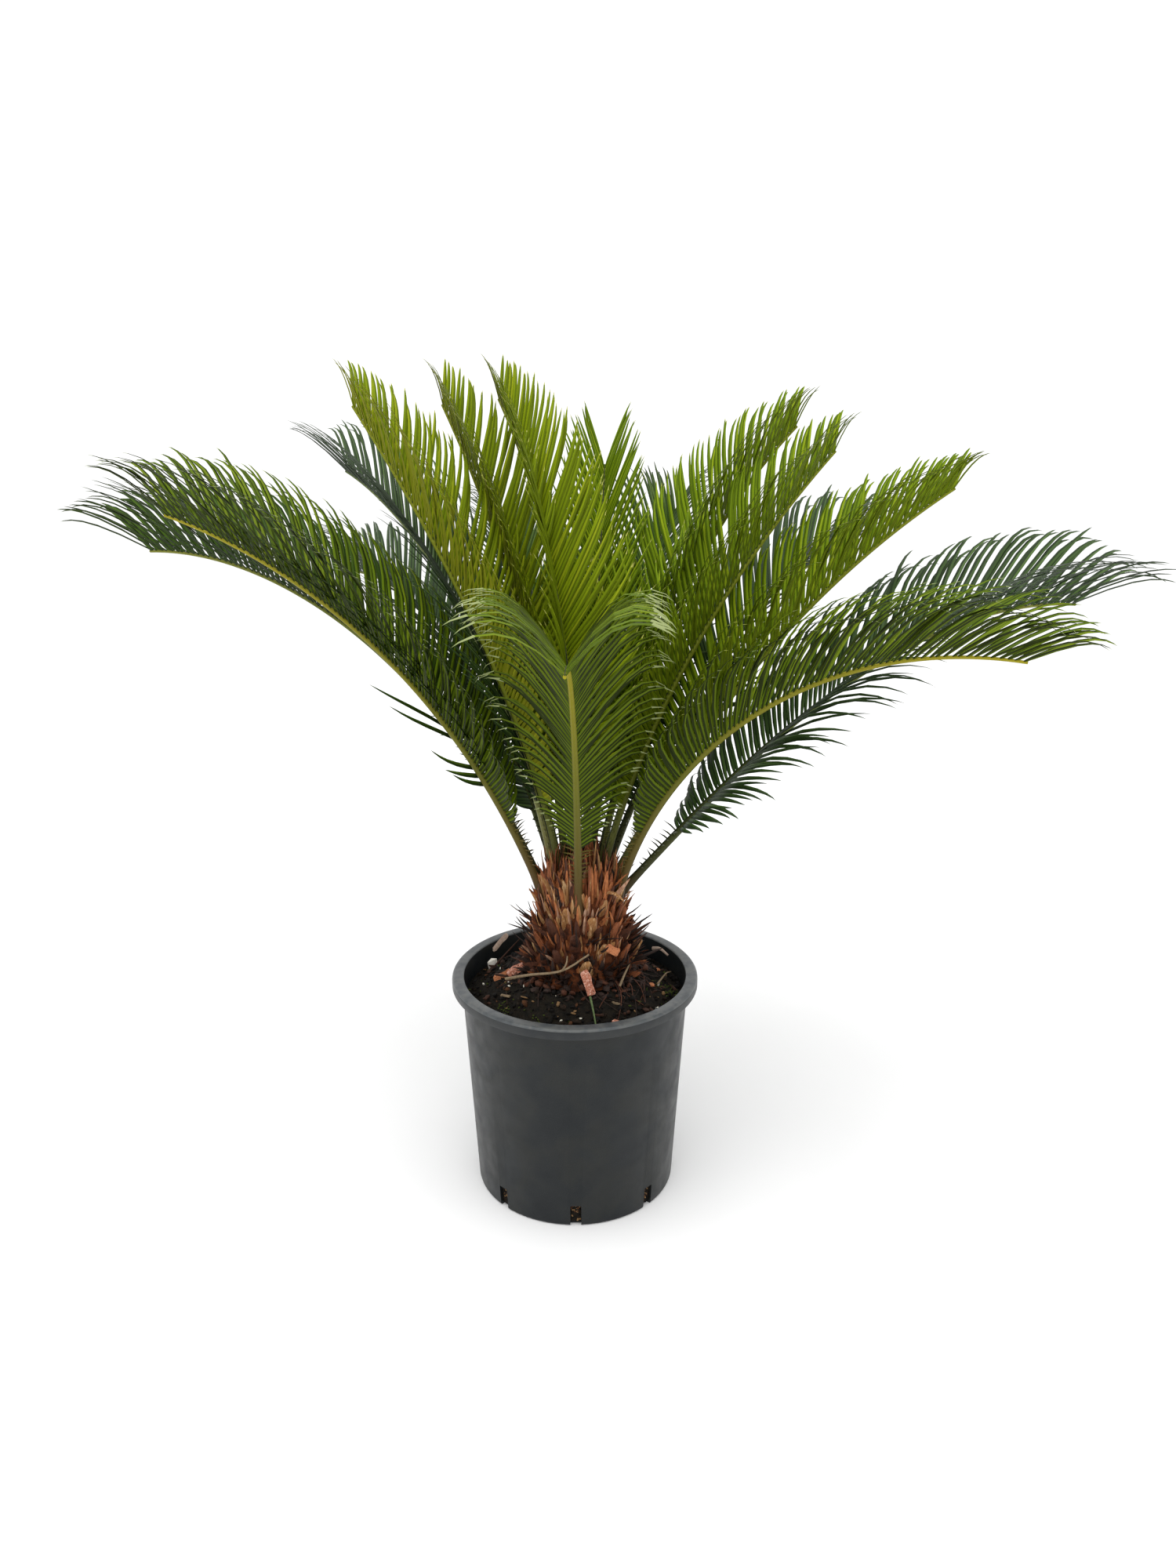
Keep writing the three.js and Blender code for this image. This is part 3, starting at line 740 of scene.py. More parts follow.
def scale_form(heading, height, length, width, depth, lean, curl, twist):
    """A scale rooted in the trunk at a height. Lean is its angle out from upright, curl is how
    much further it leans at its tip, and twist turns it about its own length."""
    across, ahead, above = stance(heading, lean)
    start = on_trunk(heading, height, -SCALE_SINK)
    tilts = curl * SCALE_SHARES**SCALE_CURL_POWER
    path, above = bent_path(start, ahead, above, length, tilts, SCALE_SHARES)
    broad = across * math.cos(twist) + above * math.sin(twist)
    above = above * math.cos(twist) - across * math.sin(twist)
    return blade(path, broad, above, SCALE_WIDTHS * width, SCALE_DEPTHS * depth)


# The straw and golden tints are partly the scales' own colour and partly painted highlight, and the maroon
# and dark tints partly their own colour and partly painted shadow.
SCALE_TINTS = [
    ("scale_orange", [0x8E4E2B, 0xB26E40, 0x743F22]),
    ("scale_golden", [0xAE8454, 0x946438, 0xC6A478]),
    ("scale_russet", [0x70391E, 0x8C5230, 0x4E2614]),
    ("scale_maroon", [0x3E2015, 0x573220, 0x28140D]),
    ("scale_straw_painted_highlight", [0xC8A288, 0xA87E62, 0x8A6048]),
    ("scale_dark", [0x1E140F, 0x30201A, 0x261A12]),
]
UPRIGHT_FIBRES = (1, 1, 0.22)
scale_finishes = [
    finish(
        *tints, grain=0.0024, roughness=(0.6, 0.9), relief=(0.0007, 0.0005), gloss=0.3, stretch=UPRIGHT_FIBRES
    )
    for tints in SCALE_TINTS
]
# How often each tint is taken, by its number in that list.
UPPER_MIX = [0] * 6 + [1] * 5 + [2] * 5 + [3] * 3 + [4] * 3 + [5]
LOWER_MIX = [0] * 3 + [1] + [2] * 6 + [3] * 7 + [4] + [5] * 3
DARK_FOOT_MIX = [5, 5, 5, 3]
CROWN_MIX = [0] * 4 + [1] * 2 + [2] * 5 + [3] * 5

# Each kind of scale: how many, and their heights, lengths, widths, thickness and leans.
STEM_SCALES = (860, (0.001, 0.090), (0.014, 0.033), (0.0030, 0.0080), 0.0022, (0.6, 0.08))
CROWN_SCALES = (150, (0.074, 0.0975), (0.024, 0.044), (0.003, 0.0065), 0.0014, (0.16, 0.02))
SPIKES = (70, (0.004, 0.050), (0.022, 0.040), (0.0028, 0.0042, 0.0062), 0.0020, (0.75, 1.2))
SKIRT_SCALES = (150, (0.001, 0.014), (0.012, 0.024), (0.0025, 0.007), 0.0013, (0.8, 1.35))
# How far each kind strays from its even spiral, in radians, and how it curls.
STEM_STRAY = {"heading": 0.12, "lean": 0.27, "curl": 0.5, "twist": 0.75}
CROWN_STRAY = {"heading": 0.1, "lean": 0.1, "curl": 0.2, "twist": 0.4}
SPIKE_STRAY = {"heading": 0.2, "curl": 0.3, "twist": 0.6}
SKIRT_STRAY = {"heading": 0.15, "twist": 0.7}
STEM_CURLS = (-0.3, 0.0)
CROWN_CURL = -0.05
SPIKE_CURL = -0.2
SKIRT_CURLS = (-0.4, 0.35)
# The stem's scales get narrower and more upright towards its top, and most of those at its foot take dark
# tints.
LENGTH_SPREAD_ON_STEM = (0.65, 1.3)
TOP_NARROWING = 0.62
LEAN_POWER = 0.8
DARK_FOOT_BELOW = 0.25
DARK_FOOT_SHARE = 0.7
UPPER_MIX_SHARE = 0.35

chance = random.Random(21)
scales = Bundle()
count, heights, lengths, widths, thickness, leans = STEM_SCALES
for k in range(count):
    share = k / (count - 1)
    heading = k * GOLDEN_ANGLE + chance.gauss(0, STEM_STRAY["heading"])
    height = blend(*heights, share)
    length = blend(*lengths, share) * chance.uniform(*LENGTH_SPREAD_ON_STEM)
    width = chance.uniform(*widths) * blend(1, TOP_NARROWING, share)
    lean = blend(*leans, share**LEAN_POWER) + chance.gauss(0, STEM_STRAY["lean"])
    curl = blend(*STEM_CURLS, share) + chance.gauss(0, STEM_STRAY["curl"])
    if share < DARK_FOOT_BELOW and chance.random() < DARK_FOOT_SHARE:
        mix_of_tints = DARK_FOOT_MIX
    else:
        mix_of_tints = UPPER_MIX if chance.random() < UPPER_MIX_SHARE + share else LOWER_MIX
    twist = chance.gauss(0, STEM_STRAY["twist"])
    form = scale_form(heading, height, length, width, thickness, lean, curl, twist)
    scales.add(form, chance.choice(mix_of_tints))
count, heights, lengths, widths, thickness, leans = CROWN_SCALES
for k in range(count):
    share = k / (count - 1)
    height = blend(*heights, share)
    heading = k * GOLDEN_ANGLE + chance.gauss(0, CROWN_STRAY["heading"])
    length = chance.uniform(*lengths)
    lean = blend(*leans, share) + chance.gauss(0, CROWN_STRAY["lean"])
    width = chance.uniform(*widths)
    curl = chance.gauss(CROWN_CURL, CROWN_STRAY["curl"])
    twist = chance.gauss(0, CROWN_STRAY["twist"])
    form = scale_form(heading, height, length, width, thickness, lean, curl, twist)
    scales.add(form, chance.choice(CROWN_MIX))
scales = scales.piece("scales", scale_finishes, crease=60)

BASE_COUNT = 42
BASE_HEIGHTS = (0.006, 0.082)
BASE_SIZES = (1.05, 0.8)
BASE_SPREAD = (0.85, 1.1)
BASE_SLOPES = (0.8, 0.35)
BASE_LEAN_SHARE = 0.8
BASE_LENGTH = 0.025
BASE_CUT_SHORT = 0.86
BASE_WIDTH = 0.013
BASE_THICKNESS = 0.007
BASE_SINK = 0.005
BASE_CORNERS = 8
BASE_JAGS = (0.88, 1.12)
BASE_END_FROM = 0.9
BASE_END_SLIP = 0.0012
# Each ring of a base: its share of the length, of the width and of the thickness.
BASE_RINGS = [
    (0, 1, 1), (0.3, 1, 1), (0.55, 0.92, 0.85), (0.8, 0.74, 0.66), (0.97, 0.5, 0.42), (1, 0.3, 0.25),
]
LOW_BASES_TO = 0.6
LOW_BASE_MIX = [1, 0, 2, 2, 3]
HIGH_BASE_MIX = [0, 1, 1, 2]

bases = Bundle()
for k in range(BASE_COUNT):
    share = k / (BASE_COUNT - 1)
    heading = k * GOLDEN_ANGLE
    size = blend(*BASE_SIZES, share) * chance.uniform(*BASE_SPREAD)
    lean = math.atan(blend(*BASE_SLOPES, share)) * BASE_LEAN_SHARE
    across, ahead, above = stance(heading, lean)
    start = on_trunk(heading, blend(*BASE_HEIGHTS, share), -BASE_SINK)
    reach = BASE_LENGTH * size + BASE_SINK
    rings = []
    for along, wide, deep in BASE_RINGS:
        ring = []
        for corner in range(BASE_CORNERS):
            angle = math.tau * corner / BASE_CORNERS
            jag = chance.uniform(*BASE_JAGS)
            x = across * math.cos(angle) * wide * BASE_WIDTH / 2 * size * jag
            y = above * math.sin(angle) * deep * BASE_THICKNESS / 2 * size * jag
            slip = ahead * chance.uniform(-BASE_END_SLIP, BASE_END_SLIP) * (along > BASE_END_FROM)
            ring.append(start + ahead * along * reach * BASE_CUT_SHORT + x + y + slip)
        rings.append(ring)
    bases.add(loft(np.array(rings)), chance.choice(LOW_BASE_MIX if share < LOW_BASES_TO else HIGH_BASE_MIX))
bases = bases.piece("leaf_bases", scale_finishes, crease=45)

SPIKE_MIX = [5, 5, 3, 5]
SKIRT_MIX = [2, 3, 3, 5, 5, 5, 5]
CLOD_COUNT = 170
CLOD_RADII = (0.050, 0.066)
CLOD_HEIGHTS = (0.014, 0.001)
CLOD_SIZES = (0.004, 0.008)
CLOD_SHAPE = (1.4, 1, 0.7)
CLOD_MIX = [3, 3, 5, 5, 5]
ROOT_COUNT = 60
ROOT_START = 0.056
ROOT_HEIGHTS = (0.002, 0.012)
ROOT_SINK = 0.002
ROOT_SHARES = (0.35, 0.7, 1.0)
ROOT_SWING = 0.45
ROOT_ARCH = 0.007
ROOT_PERCH = 0.0004
ROOT_REACHES = (0.064, 0.092)
ROOT_RADII = (0.0004, 0.0010)
ROOT_TAPER = 0.5
ROOT_STEPS = 9
ROOT_SIDES = 5
ROOT_MIX = [3, 5, 5, 5]

skirt = Bundle()
count, heights, lengths, widths, thickness, leans = SPIKES
for k in range(count):
    heading = k * GOLDEN_ANGLE + chance.gauss(0, SPIKE_STRAY["heading"])
    height = chance.uniform(*heights)
    length = chance.uniform(*lengths)
    width = chance.choice(widths)
    lean = chance.uniform(*leans)
    curl = chance.gauss(SPIKE_CURL, SPIKE_STRAY["curl"])
    twist = chance.gauss(0, SPIKE_STRAY["twist"])
    form = scale_form(heading, height, length, width, thickness, lean, curl, twist)
    skirt.add(form, chance.choice(SPIKE_MIX))
count, heights, lengths, widths, thickness, leans = SKIRT_SCALES
for k in range(count):
    heading = k * GOLDEN_ANGLE + chance.gauss(0, SKIRT_STRAY["heading"])
    height = chance.uniform(*heights)
    lean = chance.uniform(*leans)
    length = chance.uniform(*lengths)
    width = chance.uniform(*widths)
    curl = chance.uniform(*SKIRT_CURLS)
    twist = chance.gauss(0, SKIRT_STRAY["twist"])
    form = scale_form(heading, height, length, width, thickness, lean, curl, twist)
    skirt.add(form, chance.choice(SKIRT_MIX))
for _ in range(CLOD_COUNT):
    heading = chance.uniform(0, math.tau)
    radius = chance.uniform(*CLOD_RADII)
    x, y = round_stem(radius, heading)
    level = mix_height(x, y) + np.interp(radius, CLOD_RADII, CLOD_HEIGHTS) * chance.random()
    size = chance.uniform(*CLOD_SIZES)
    strew(skirt, chance, (x, y, level), [size * part for part in CLOD_SHAPE], chance.choice(CLOD_MIX))
for k in range(ROOT_COUNT):
    heading = chance.uniform(0, math.tau)
    reach = chance.uniform(*ROOT_REACHES)
    swing = chance.gauss(0, ROOT_SWING)
    places = [on_trunk(heading, chance.uniform(*ROOT_HEIGHTS), -ROOT_SINK)]
    for step in ROOT_SHARES:
        turn = heading + swing * step
        radius = blend(ROOT_START, reach, step)
        x, y = round_stem(radius, turn)
        lifted = chance.uniform(0.0, ROOT_ARCH) * (1 - step)
        places.append((x, y, mix_height(x, y) + lifted + ROOT_PERCH))
    thick = chance.uniform(*ROOT_RADII)
    radii = [thick * blend(1, ROOT_TAPER, i / (ROOT_STEPS - 1)) for i in range(ROOT_STEPS)]
    skirt.add(rod(smooth_path(places, ROOT_STEPS), radii, ROOT_SIDES), chance.choice(ROOT_MIX))
skirt = skirt.piece("skirt_and_spikes", scale_finishes, crease=60)
for piece in (scales, bases, skirt):
    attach(piece, "root")
    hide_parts("trunk")

# ---- Fronds: ribs ----
# Each frond is carried by a stiff rib that rises from the crown and arches over, olive brown at
# its stalk and yellow green further up, with a groove above painted dark as shade, and short prickles on the
# stalk.

# Where the ribs start: their distance from the trunk's axis and height above its foot.
RINGS = {"outer": (0.035, 0.073), "middle": (0.028, 0.082), "inner": (0.020, 0.088), "heart": (0.011, 0.091)}
# Name, heading (from +X towards +Y), slope at its foot and tip, how late it bends, length of its rib,
# drift of its heading, roll about its rib, ring, age, and the habit, tone and curl of its leaflets.
FRONDS = [
    ("upright_middle", 79, 79, 58, 0.9, 0.414, 6, 0, "inner", "young", "feathered", "fresh", 20),
    ("front", 266, 84, -3, 1.5, 0.406, 3, 0, "outer", "grown", "open", "olive", 90),
    ("left_upper", 179, 69, 17, 1.28, 0.516, -14, 0, "outer", "grown", "feathered", "olive", 30),
    ("left_lower", 165, 66, -3, 1.38, 0.562, -10, -2, "outer", "old", "hanging", "deep", 14),
    ("left_back", 146, 76, 15, 1.5, 0.512, -18, 0, "middle", "old", "swept", "blue", 30),
    ("rising_left", 160.5, 84, 52, 0.65, 0.489, -10, 0, "inner", "young", "folded", "bright", 25),
    ("rising_left_inner", 136, 86, 55, 0.95, 0.472, 0, 0, "inner", "young", "folded", "bright", 25),
    ("upright_left", 116, 91, 49, 1.34, 0.472, 9, 0, "heart", "young", "folded", "bright", 15),
    ("rising_right_inner", 42, 74, 43, 1.5, 0.483, -22, 0, "inner", "young", "folded", "fresh", 30),
    ("rising_right", 18.5, 77, 42, 0.93, 0.471, 9, 0, "inner", "young", "folded", "fresh", 35),
    ("right_upper", 11, 62, 31, 1.33, 0.500, 1, 0, "middle", "young", "folded", "fresh", 50),
    ("right_middle", 347, 78, -4, 1, 0.467, -14, 0, "outer", "grown", "feathered", "olive", 35),
    ("right_lower", 5, 48, -5, 2.1, 0.548, 12, 9, "outer", "old", "hanging", "blue", 62),
    ("back_right", 40, 64, 8, 1.3, 0.500, 0, 0, "middle", "old", "hanging", "blue", 50),
    ("back_middle_right", 73, 66, 10, 1.3, 0.510, 0, 0, "middle", "old", "hanging", "deep", 50),
    ("back_middle_left", 102, 64, 5, 1.3, 0.510, 0, 0, "middle", "old", "hanging", "deep", 50),
    ("back_left", 127, 62, 0, 1.3, 0.500, 0, 0, "outer", "old", "hanging", "blue", 50),
]
RIB_STEPS = 60
DRIFT_POWER = 1.5
RIB_RADII = (0.0040, 0.0030, 0.0013)
RIB_RADII_AT = (0, 0.3, 1)
STALK_SHARE = 0.16
STALK_SWELL = 0.6
SWELL_SHARE = 0.07
# The rib's corners as angles from its right side over its top, and shares of its radius.
RIB_CORNERS = [
    (0, 1), (38, 1.02), (68, 0.98), (90, 0.72), (112, 0.98), (142, 1.02), (180, 1), (225, 1), (270, 1.06),
    (315, 1),
]
# The faces of the groove, which take a dark tint as painted shade.
PAINTED_SHADE_GROOVE_BANDS = (2, 3)
PRICKLES_A_SIDE = 9
PRICKLES_FROM = 0.065
PRICKLE_LENGTHS = (0.006, 0.016)
PRICKLE_SPREAD = (0.8, 1.2)
PRICKLE_STRAY = 0.2
PRICKLE_OUT, PRICKLE_UP = 0.8, 0.6
PRICKLE_LEANS = (65, 95)
PRICKLE_CURL = -0.3
PRICKLE_SHARES = np.array([0, 0.5, 1.0])
PRICKLE_WIDTHS = [0.0026, 0.0020, 0]
PRICKLE_DEPTHS = [0.0018, 0.0014, 0]


class Course:
    """The course of a frond's rib: places, and the directions ahead, aside (right) and up there."""

    def __init__(self, heading, rise, fall, late, length, drift, roll, ring):
        distance, height = RINGS[ring]
        share = np.linspace(0, 1, RIB_STEPS + 1)
        slope = np.radians(rise + (fall - rise) * share**late)
        turn = np.radians(heading + drift * share**DRIFT_POWER)
        level = np.cos(slope)
        self.ahead = np.stack([level * np.cos(turn), level * np.sin(turn), np.sin(slope)], axis=1)
        aside = np.stack([np.sin(turn), -np.cos(turn), 0 * turn], axis=1)
        roll = math.radians(roll)
        self.aside = aside * math.cos(roll) + np.cross(self.ahead, aside) * math.sin(roll)
        self.up = np.cross(self.aside, self.ahead)
        steps = self.ahead * length / RIB_STEPS
        steps[0] = (*round_stem(distance, math.radians(heading)), TRUNK_FOOT + height)
        self.places = np.cumsum(steps, axis=0)

    def at(self, share):
        """The place and the three directions at a share of the rib's length."""
        step = min(share * RIB_STEPS, RIB_STEPS - 1e-6)
        i, rest = int(step), step % 1
        found = [a[i] * (1 - rest) + a[i + 1] * rest for a in (self.places, self.ahead, self.aside, self.up)]
        return [found[0]] + [vector / np.linalg.norm(vector) for vector in found[1:]]


def rib_radius(share):
    swell = 1 + STALK_SWELL * max(0, 1 - share / SWELL_SHARE) ** 2
    return swell * np.interp(share, RIB_RADII_AT, RIB_RADII)


def graded(name, stops):
    """A finish whose colour follows the piece's own attribute, along, from foot to tip."""
    foot_tint = stops[0][1]
    material = finish(
        name, [foot_tint], grain=0.01, roughness=(0.4, 0.6), relief=(0.0015, 0.00025), gloss=0.15
    )
    nodes = material.node_tree.nodes
    join = material.node_tree.links.new
    along = nodes.new("ShaderNodeAttribute")
    along.attribute_name = "along"
    ramp = nodes.new("ShaderNodeValToRGB")
    shade_tints(ramp, stops)
    join(along.outputs["Fac"], ramp.inputs["Fac"])
    join(ramp.outputs["Color"], nodes["Principled BSDF"].inputs["Base Color"])
    return material


# Tints from foot to tip for each age of frond, and for the pale rib of the swept one, whose paleness is
# partly a painted highlight.
RIB_TINTS = {
    "young": [(0.0, 0x54401F), (0.07, 0x4C4E22), (0.3, 0x6A721E), (1.0, 0x848A20)],
    "grown": [(0.0, 0x4E3820), (0.1, 0x54481F), (0.3, 0x62621E), (1.0, 0x9C921E)],
    "old": [(0.0, 0x40301A), (0.07, 0x36381C), (0.35, 0x4C5622), (1.0, 0x7A7C2E)],
    "pale": [(0.0, 0x6A5A34), (0.15, 0x8A8C54), (0.5, 0x9CA46C), (1.0, 0x5A6A34)],
}
rib_finishes = {kind: graded("rib_" + kind, stops) for kind, stops in RIB_TINTS.items()}
# The groove's dark tint is painted shade.
groove_painted_shade = finish(
    "rib_groove_painted_shade", [0x1E260C, 0x2A3412], grain=0.01, roughness=(0.5, 0.7), relief=(0.0015, 0.0002), gloss=0.3
)

courses = {row[0]: Course(*row[1:9]) for row in FRONDS}
chance = random.Random(33)
for row in FRONDS:
    name, age, habit = row[0], row[9], row[10]
    course = courses[name]
    radii = np.array([rib_radius(k / RIB_STEPS) for k in range(RIB_STEPS + 1)])[:, None]
    rings = []
    for angle, share in RIB_CORNERS:
        turn = math.radians(angle)
        outwards = course.aside * math.cos(turn) + course.up * math.sin(turn)
        rings.append(course.places + outwards * radii * share)
    form = loft(np.stack(rings, axis=1))
    bands = [1 if band in PAINTED_SHADE_GROOVE_BANDS else 0 for band in range(len(RIB_CORNERS))]
    along = np.repeat(np.linspace(0, 1, RIB_STEPS + 1), len(RIB_CORNERS)).tolist()
    rib = Bundle()
    rib.add(form, [0] + bands * RIB_STEPS + [0], along)
    for k in range(PRICKLES_A_SIDE):
        for side in (-1, 1):
            order = (k + 0.5 + chance.uniform(-PRICKLE_STRAY, PRICKLE_STRAY)) / PRICKLES_A_SIDE
            share = blend(PRICKLES_FROM, STALK_SHARE, order)
            place, ahead, aside, up = course.at(share)
            length = blend(*PRICKLE_LENGTHS, k / PRICKLES_A_SIDE) * chance.uniform(*PRICKLE_SPREAD)
            length += rib_radius(share)
            out = aside * side * PRICKLE_OUT + up * PRICKLE_UP
            lean = math.radians(chance.uniform(*PRICKLE_LEANS))
            direction = ahead * math.cos(lean) + out * math.sin(lean)
            above = np.cross(direction, np.cross(ahead, direction))
            above /= np.linalg.norm(above)
            tilts = PRICKLE_CURL * PRICKLE_SHARES
            path, above = bent_path(place, direction, above, length, tilts, PRICKLE_SHARES)
            across = np.cross(direction, above)
            rib.add(blade(path, across, above, PRICKLE_WIDTHS, PRICKLE_DEPTHS), 0, share)
    # The swept frond's rib takes the pale tints, in part a painted highlight.
    rib_finish = rib_finishes["pale" if habit == "swept" else age]
    rib = rib.piece("rib_" + name, [rib_finish, groove_painted_shade], crease=55, attribute="along")
    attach(rib, "root")
    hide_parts("frond_" + name)

# ---- Fronds: leaflets ----
# Narrow leathery leaflets stand in two rows along each rib, raised in a steep V. They are a little
# glossy above and duller below, and arch over towards their sharp tips, most of all on the frond
# that leans forward.

# For each habit: the longest leaflets as a share of their rib, the lift of the rows from the frond's
# plane at the stalk and at the tip, the leaflets' angles to the rib at the first, halfway and last,
# where on the leafy stretch they begin to shorten, the last as a share of the longest, their pitch,
# their width as a share of the room that the pitch gives, and how far their tips turn forwards.
LEAFLET_HABITS = {
    "folded": (0.24, (54, 63), (82, 46, 31), 0.5, 0.4, 0.0050, 1.2, 20),
    "feathered": (0.26, (38, 54), (82, 48, 36), 0.7, 0.62, 0.0051, 1.04, 34),
    "swept": (0.26, (30, 48), (70, 34, 26), 0.7, 0.75, 0.0056, 0.95, 30),
    "open": (0.28, (38, 50), (82, 56, 46), 0.85, 1.1, 0.0054, 0.95, 0),
    "hanging": (0.26, (14, 62), (82, 46, 34), 0.7, 0.72, 0.0054, 1.15, 34),
}
ANGLES_AT = (STALK_SHARE, 0.5, 1)
PITCH_SPREAD = 0.25
LEAFLET_WIDTH = 0.0053
LEAFLET_DEPTH = 0.0013
FIRST_SHARE = 0.12
FULL_FROM = 0.33
OPENING_POWER = 0.8
CLOSING_POWER = 1.6
BOW = 5
SWEEP = 0.18
# For each age: how late its leaflets curl, and how much at the stalk and at the tip.
CURLS = {"young": (5, 1, 1), "grown": (4.5, 1, 1), "old": (2.6, 1.2, 0.25)}
TURN_POWER = 5
SHINGLE = 14
ROOT_TURN = 38
ROOT_DEPTH = 0.7
CLEAR_OF_RIBS = 0.0062
PROBES = (0.25, 0.75)
# What a leaflet tries, one after another, to keep off other ribs: more lift, and a shorter length.
TRIES = [(0, 1), (9, 1), (-9, 1), (18, 1), (0, 0.8), (0, 0.6), (0, 0.42)]
LEAFLET_SHARES = np.array([0, 0.1, 0.35, 0.58, 0.74, 0.86, 0.95, 1.0])
LEAFLET_WIDTHS = np.array([0.6, 0.95, 1.0, 0.93, 0.76, 0.54, 0.28, 0.0])
LEAFLET_DEPTHS = np.array([1.0, 0.95, 0.85, 0.75, 0.6, 0.45, 0.3, 0.0])
# Which finish each face takes: 0 the upper side, 1 the underside, and 2 and 3 their halves in painted shade.
LEAFLET_SIDES = [1] + [0, 2, 3, 1] * (len(LEAFLET_SHARES) - 1)


def leaflet_share(along, full_to, last):
    """Length of the leaflets at a place on the leafy stretch, as a share of the longest."""
    opening = min(1, FIRST_SHARE + (along / FULL_FROM) ** OPENING_POWER)
    closing = max(0, (along - full_to) / (1 - full_to)) ** CLOSING_POWER
    return opening * (1 - (1 - last) * closing)


def leaflet_path(spot, sink, angle, side, lift, length, curls, forwards):
    """The places along a leaflet, and the directions of its upper side and across it at each. It
    curls down and turns forwards by the two last angles."""
    place, ahead, aside, up = spot
    root = math.radians(ROOT_TURN)
    place = place + (aside * side * math.cos(root) + up * math.sin(root)) * sink
    across = aside * side * math.cos(lift) + up * math.sin(lift)
    inwards = up * math.cos(lift) - aside * side * math.sin(lift)
    angles = angle * (1 - SWEEP * LEAFLET_SHARES**2) - forwards * LEAFLET_SHARES**TURN_POWER
    angles = angles[:, None]
    along = ahead * np.cos(angles) + across * np.sin(angles)
    broad = ahead * np.sin(angles) - across * np.cos(angles)
    tilts = math.radians(BOW) * (1 - 2 * LEAFLET_SHARES) - curls
    path, above = bent_path(place, along, inwards, length, tilts, LEAFLET_SHARES)
    shingle = math.radians(SHINGLE)
    upper = above * math.cos(shingle) - broad * math.sin(shingle)
    return path, upper, broad * math.cos(shingle) + above * math.sin(shingle)


PLACES_A_RIB = 3 * RIB_STEPS
rib_places = kdtree.KDTree(len(FRONDS) * PLACES_A_RIB)
for number, row in enumerate(FRONDS):
    for k in range(PLACES_A_RIB):
        rib_places.insert(courses[row[0]].at(k / PLACES_A_RIB)[0], number)
rib_places.balance()


def clears_ribs(path, number):
    """Whether a leaflet of this frond keeps off the ribs of all the others."""
    for a, b in zip(path[1:], path[2:]):
        for t in PROBES:
            near = rib_places.find_range(a * (1 - t) + b * t, CLEAR_OF_RIBS)
            if any(owner != number for _, owner, _ in near):
                return False
    return True


# Tone: the tints of the upper sides and of the undersides, the tip's, the painted shade of the halves towards
# the stalk above and below, beside the crease along the middle, and the upper side's gloss.
LEAF_TONES = {
    "bright": ([0x7F9012, 0x728410, 0x8E991A], [0xA0A22A, 0x909422], 0xA4A652, [0x5E6D0E, 0x858821], 0.05),
    "fresh": ([0x768D12, 0x6B8210, 0x889B18], [0x7E8E1C, 0x728218], 0x929648, [0x4E630C, 0x606E12], 0.05),
    "olive": ([0x596E10, 0x4D600F, 0x687916], [0x57671A, 0x4B5A15], 0x8C9664, [0x303E0A, 0x242D0A], 0.06),
    "deep": ([0x425C18, 0x385014, 0x50671C], [0x405416, 0x364A12], 0x4C5A30, [0x283A10, 0x1E2A0C], 0.08),
    "blue": ([0x40582A, 0x364C22, 0x4F6834], [0x384E24, 0x2F441E], 0x46563A, [0x26381A, 0x1E2C14], 0.18),
}
UNDER_GLOSS = 0.3
# The finishes of a tone go in this order: three uppers, two unders, the tip's and two of painted shade.
FIRST_UNDER = 3
TIP = 5
PAINTED_SHADE_HALVES = (6, 7)


def leaf_finish(name, code, roughness, gloss):
    """A plain finish in one tint, with the fine grain of a leaflet."""
    return finish(name, [code], grain=0.02, roughness=roughness, relief=(0.003, 0.0002), gloss=gloss)


leaf_finishes = {}
for tone, (uppers, unders, tip, painted_shade_codes, gloss) in LEAF_TONES.items():
    made = [leaf_finish(f"leaf_{tone}_{k}", code, (0.36, 0.5), gloss) for k, code in enumerate(uppers)]
    for k, code in enumerate(unders):
        made.append(leaf_finish(f"under_{tone}_{k}", code, (0.5, 0.65), gloss * UNDER_GLOSS))
    made.append(leaf_finish(f"tip_{tone}", tip, (0.5, 0.65), gloss))
    # The two darker tints are painted shade on one half of each leaflet, above and below.
    made += [leaf_finish(f"painted_shade_half_{tone}_{k}", code, (0.4, 0.55), gloss) for k, code in enumerate(painted_shade_codes)]
    leaf_finishes[tone] = made

# How far the leaflets of one frond differ: in place, angle, length, curl, turn, lift and tint.
PLACE_SPREAD = 0.18
ANGLE_SPREAD = 1.8
LENGTH_SPREAD = (0.94, 1.04)
CURL_SPREAD = (0.7, 1.35)
TURN_SPREAD = (0.4, 1.5)
LIFT_SPREAD = 2.2
SHADES = [0, 0, 1, 1, 2]
# Tips take their own finish on the last ring of faces, or the last two where the curl is this strong.
STRONG_CURL = 80
FACES_A_RING = 4

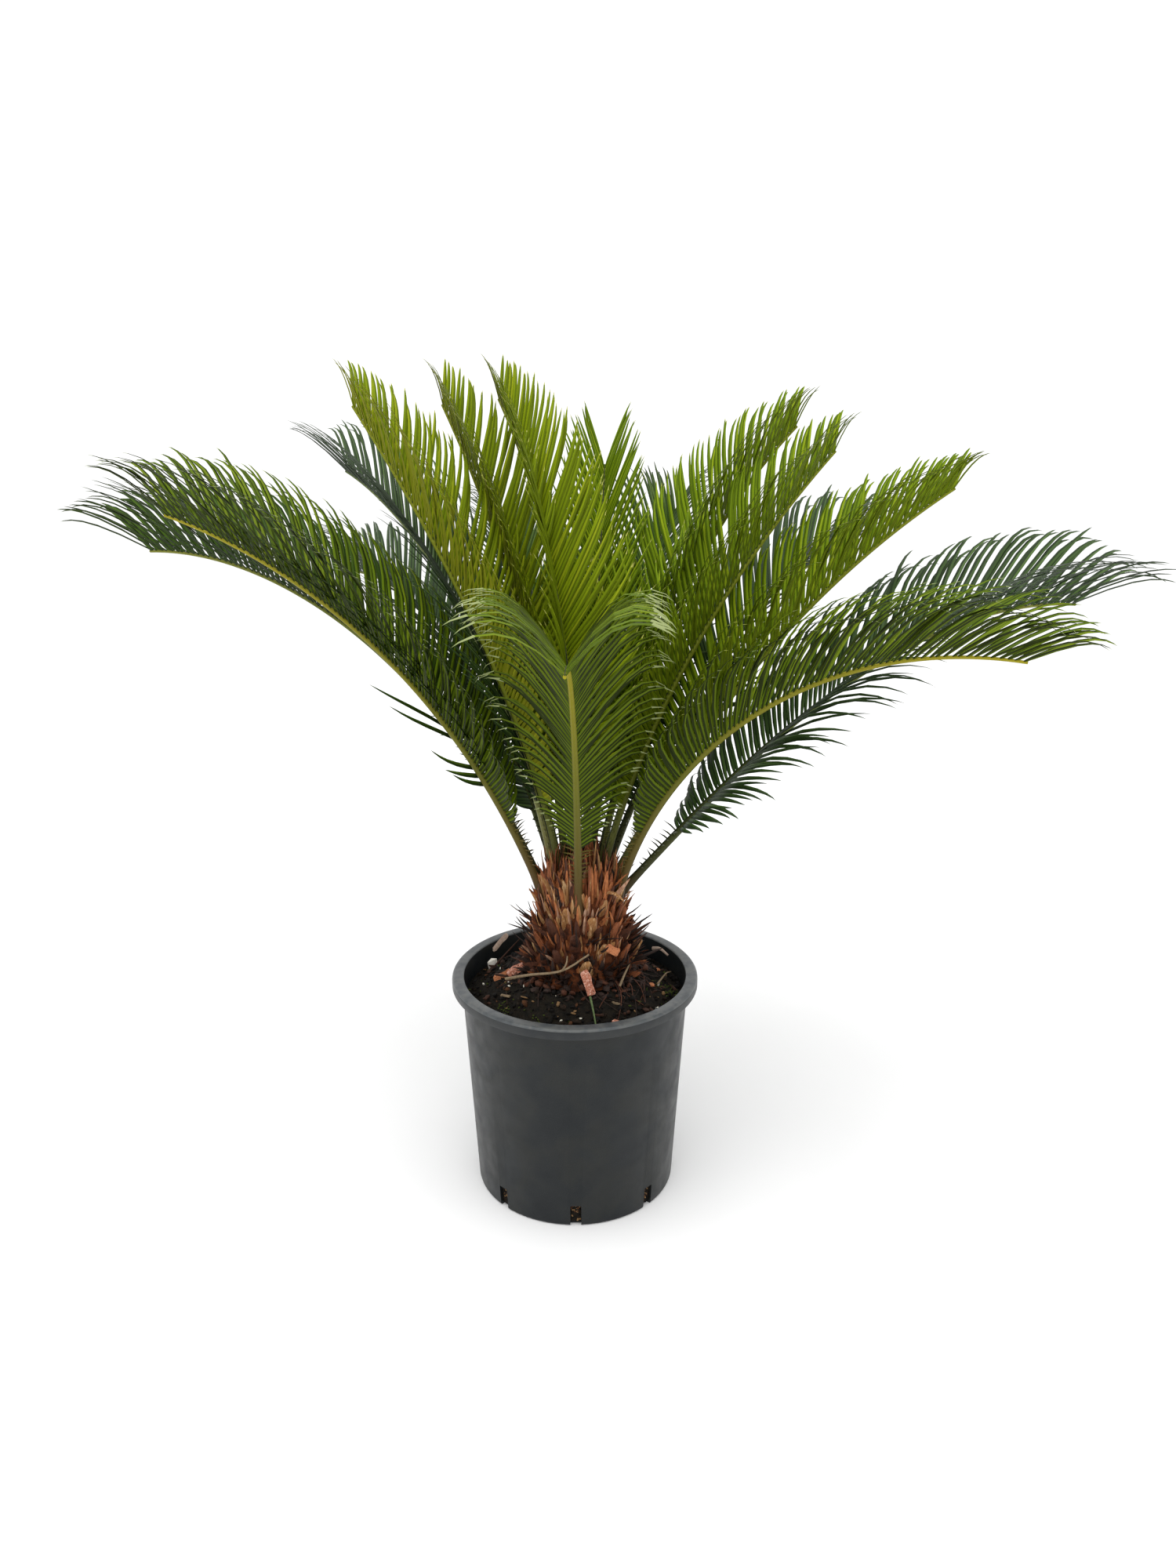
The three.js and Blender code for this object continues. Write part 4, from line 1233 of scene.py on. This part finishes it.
chance = random.Random(47)
for number, row in enumerate(FRONDS):
    name, length, age, habit, tone, curl = (row[k] for k in (0, 5, 9, 10, 11, 12))
    reach, lifts, angles, full_to, last, mean_pitch, fill, forwards = LEAFLET_HABITS[habit]
    late, *strengths = CURLS[age]
    count = round((1 - STALK_SHARE) * length / mean_pitch)
    leaflets = Bundle()
    for k in range(count):
        for side in (-1, 1):
            order = (k + 0.5 + chance.uniform(-PLACE_SPREAD, PLACE_SPREAD)) / count
            along = order * (1 + PITCH_SPREAD * (order - 1))
            pitch = mean_pitch * (1 + PITCH_SPREAD * (2 * order - 1))
            share = blend(STALK_SHARE, 1, along)
            angle = math.radians(np.interp(share, ANGLES_AT, angles) + chance.gauss(0, ANGLE_SPREAD))
            full = reach * length * leaflet_share(along, full_to, last) * chance.uniform(*LENGTH_SPREAD)
            own_curl = math.radians(curl * chance.uniform(*CURL_SPREAD)) * blend(*strengths, along)
            curls = own_curl * LEAFLET_SHARES**late
            tip_turn = math.radians(forwards * chance.uniform(*TURN_SPREAD))
            jitter = chance.gauss(0, LIFT_SPREAD)
            shade = chance.choice(SHADES)
            spot = courses[name].at(share)
            sink = ROOT_DEPTH * rib_radius(share)
            for more_lift, shorter in TRIES:
                lift = math.radians(blend(*lifts, along) + more_lift + jitter)
                reached = full * shorter
                path, above, broad = leaflet_path(spot, sink, angle, side, lift, reached, curls, tip_turn)
                if clears_ribs(path, number):
                    break
            else:
                continue
            width = min(LEAFLET_WIDTH, pitch * math.sin(angle) * fill)
            form = blade(path, broad, above, LEAFLET_WIDTHS * width, LEAFLET_DEPTHS * LEAFLET_DEPTH)
            # Faces 2 and 3 take the darker tints of painted shade.
            sides = [(shade, FIRST_UNDER + shade % 2, *PAINTED_SHADE_HALVES)[side] for side in LEAFLET_SIDES]
            tip_faces = FACES_A_RING * (2 if curl > STRONG_CURL else 1)
            sides[-tip_faces:] = [TIP] * tip_faces
            leaflets.add(form, sides)
    leaflets = leaflets.piece("leaflets_" + name, leaf_finishes[tone], crease=60)
    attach(leaflets, "root")
    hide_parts("frond_" + name)
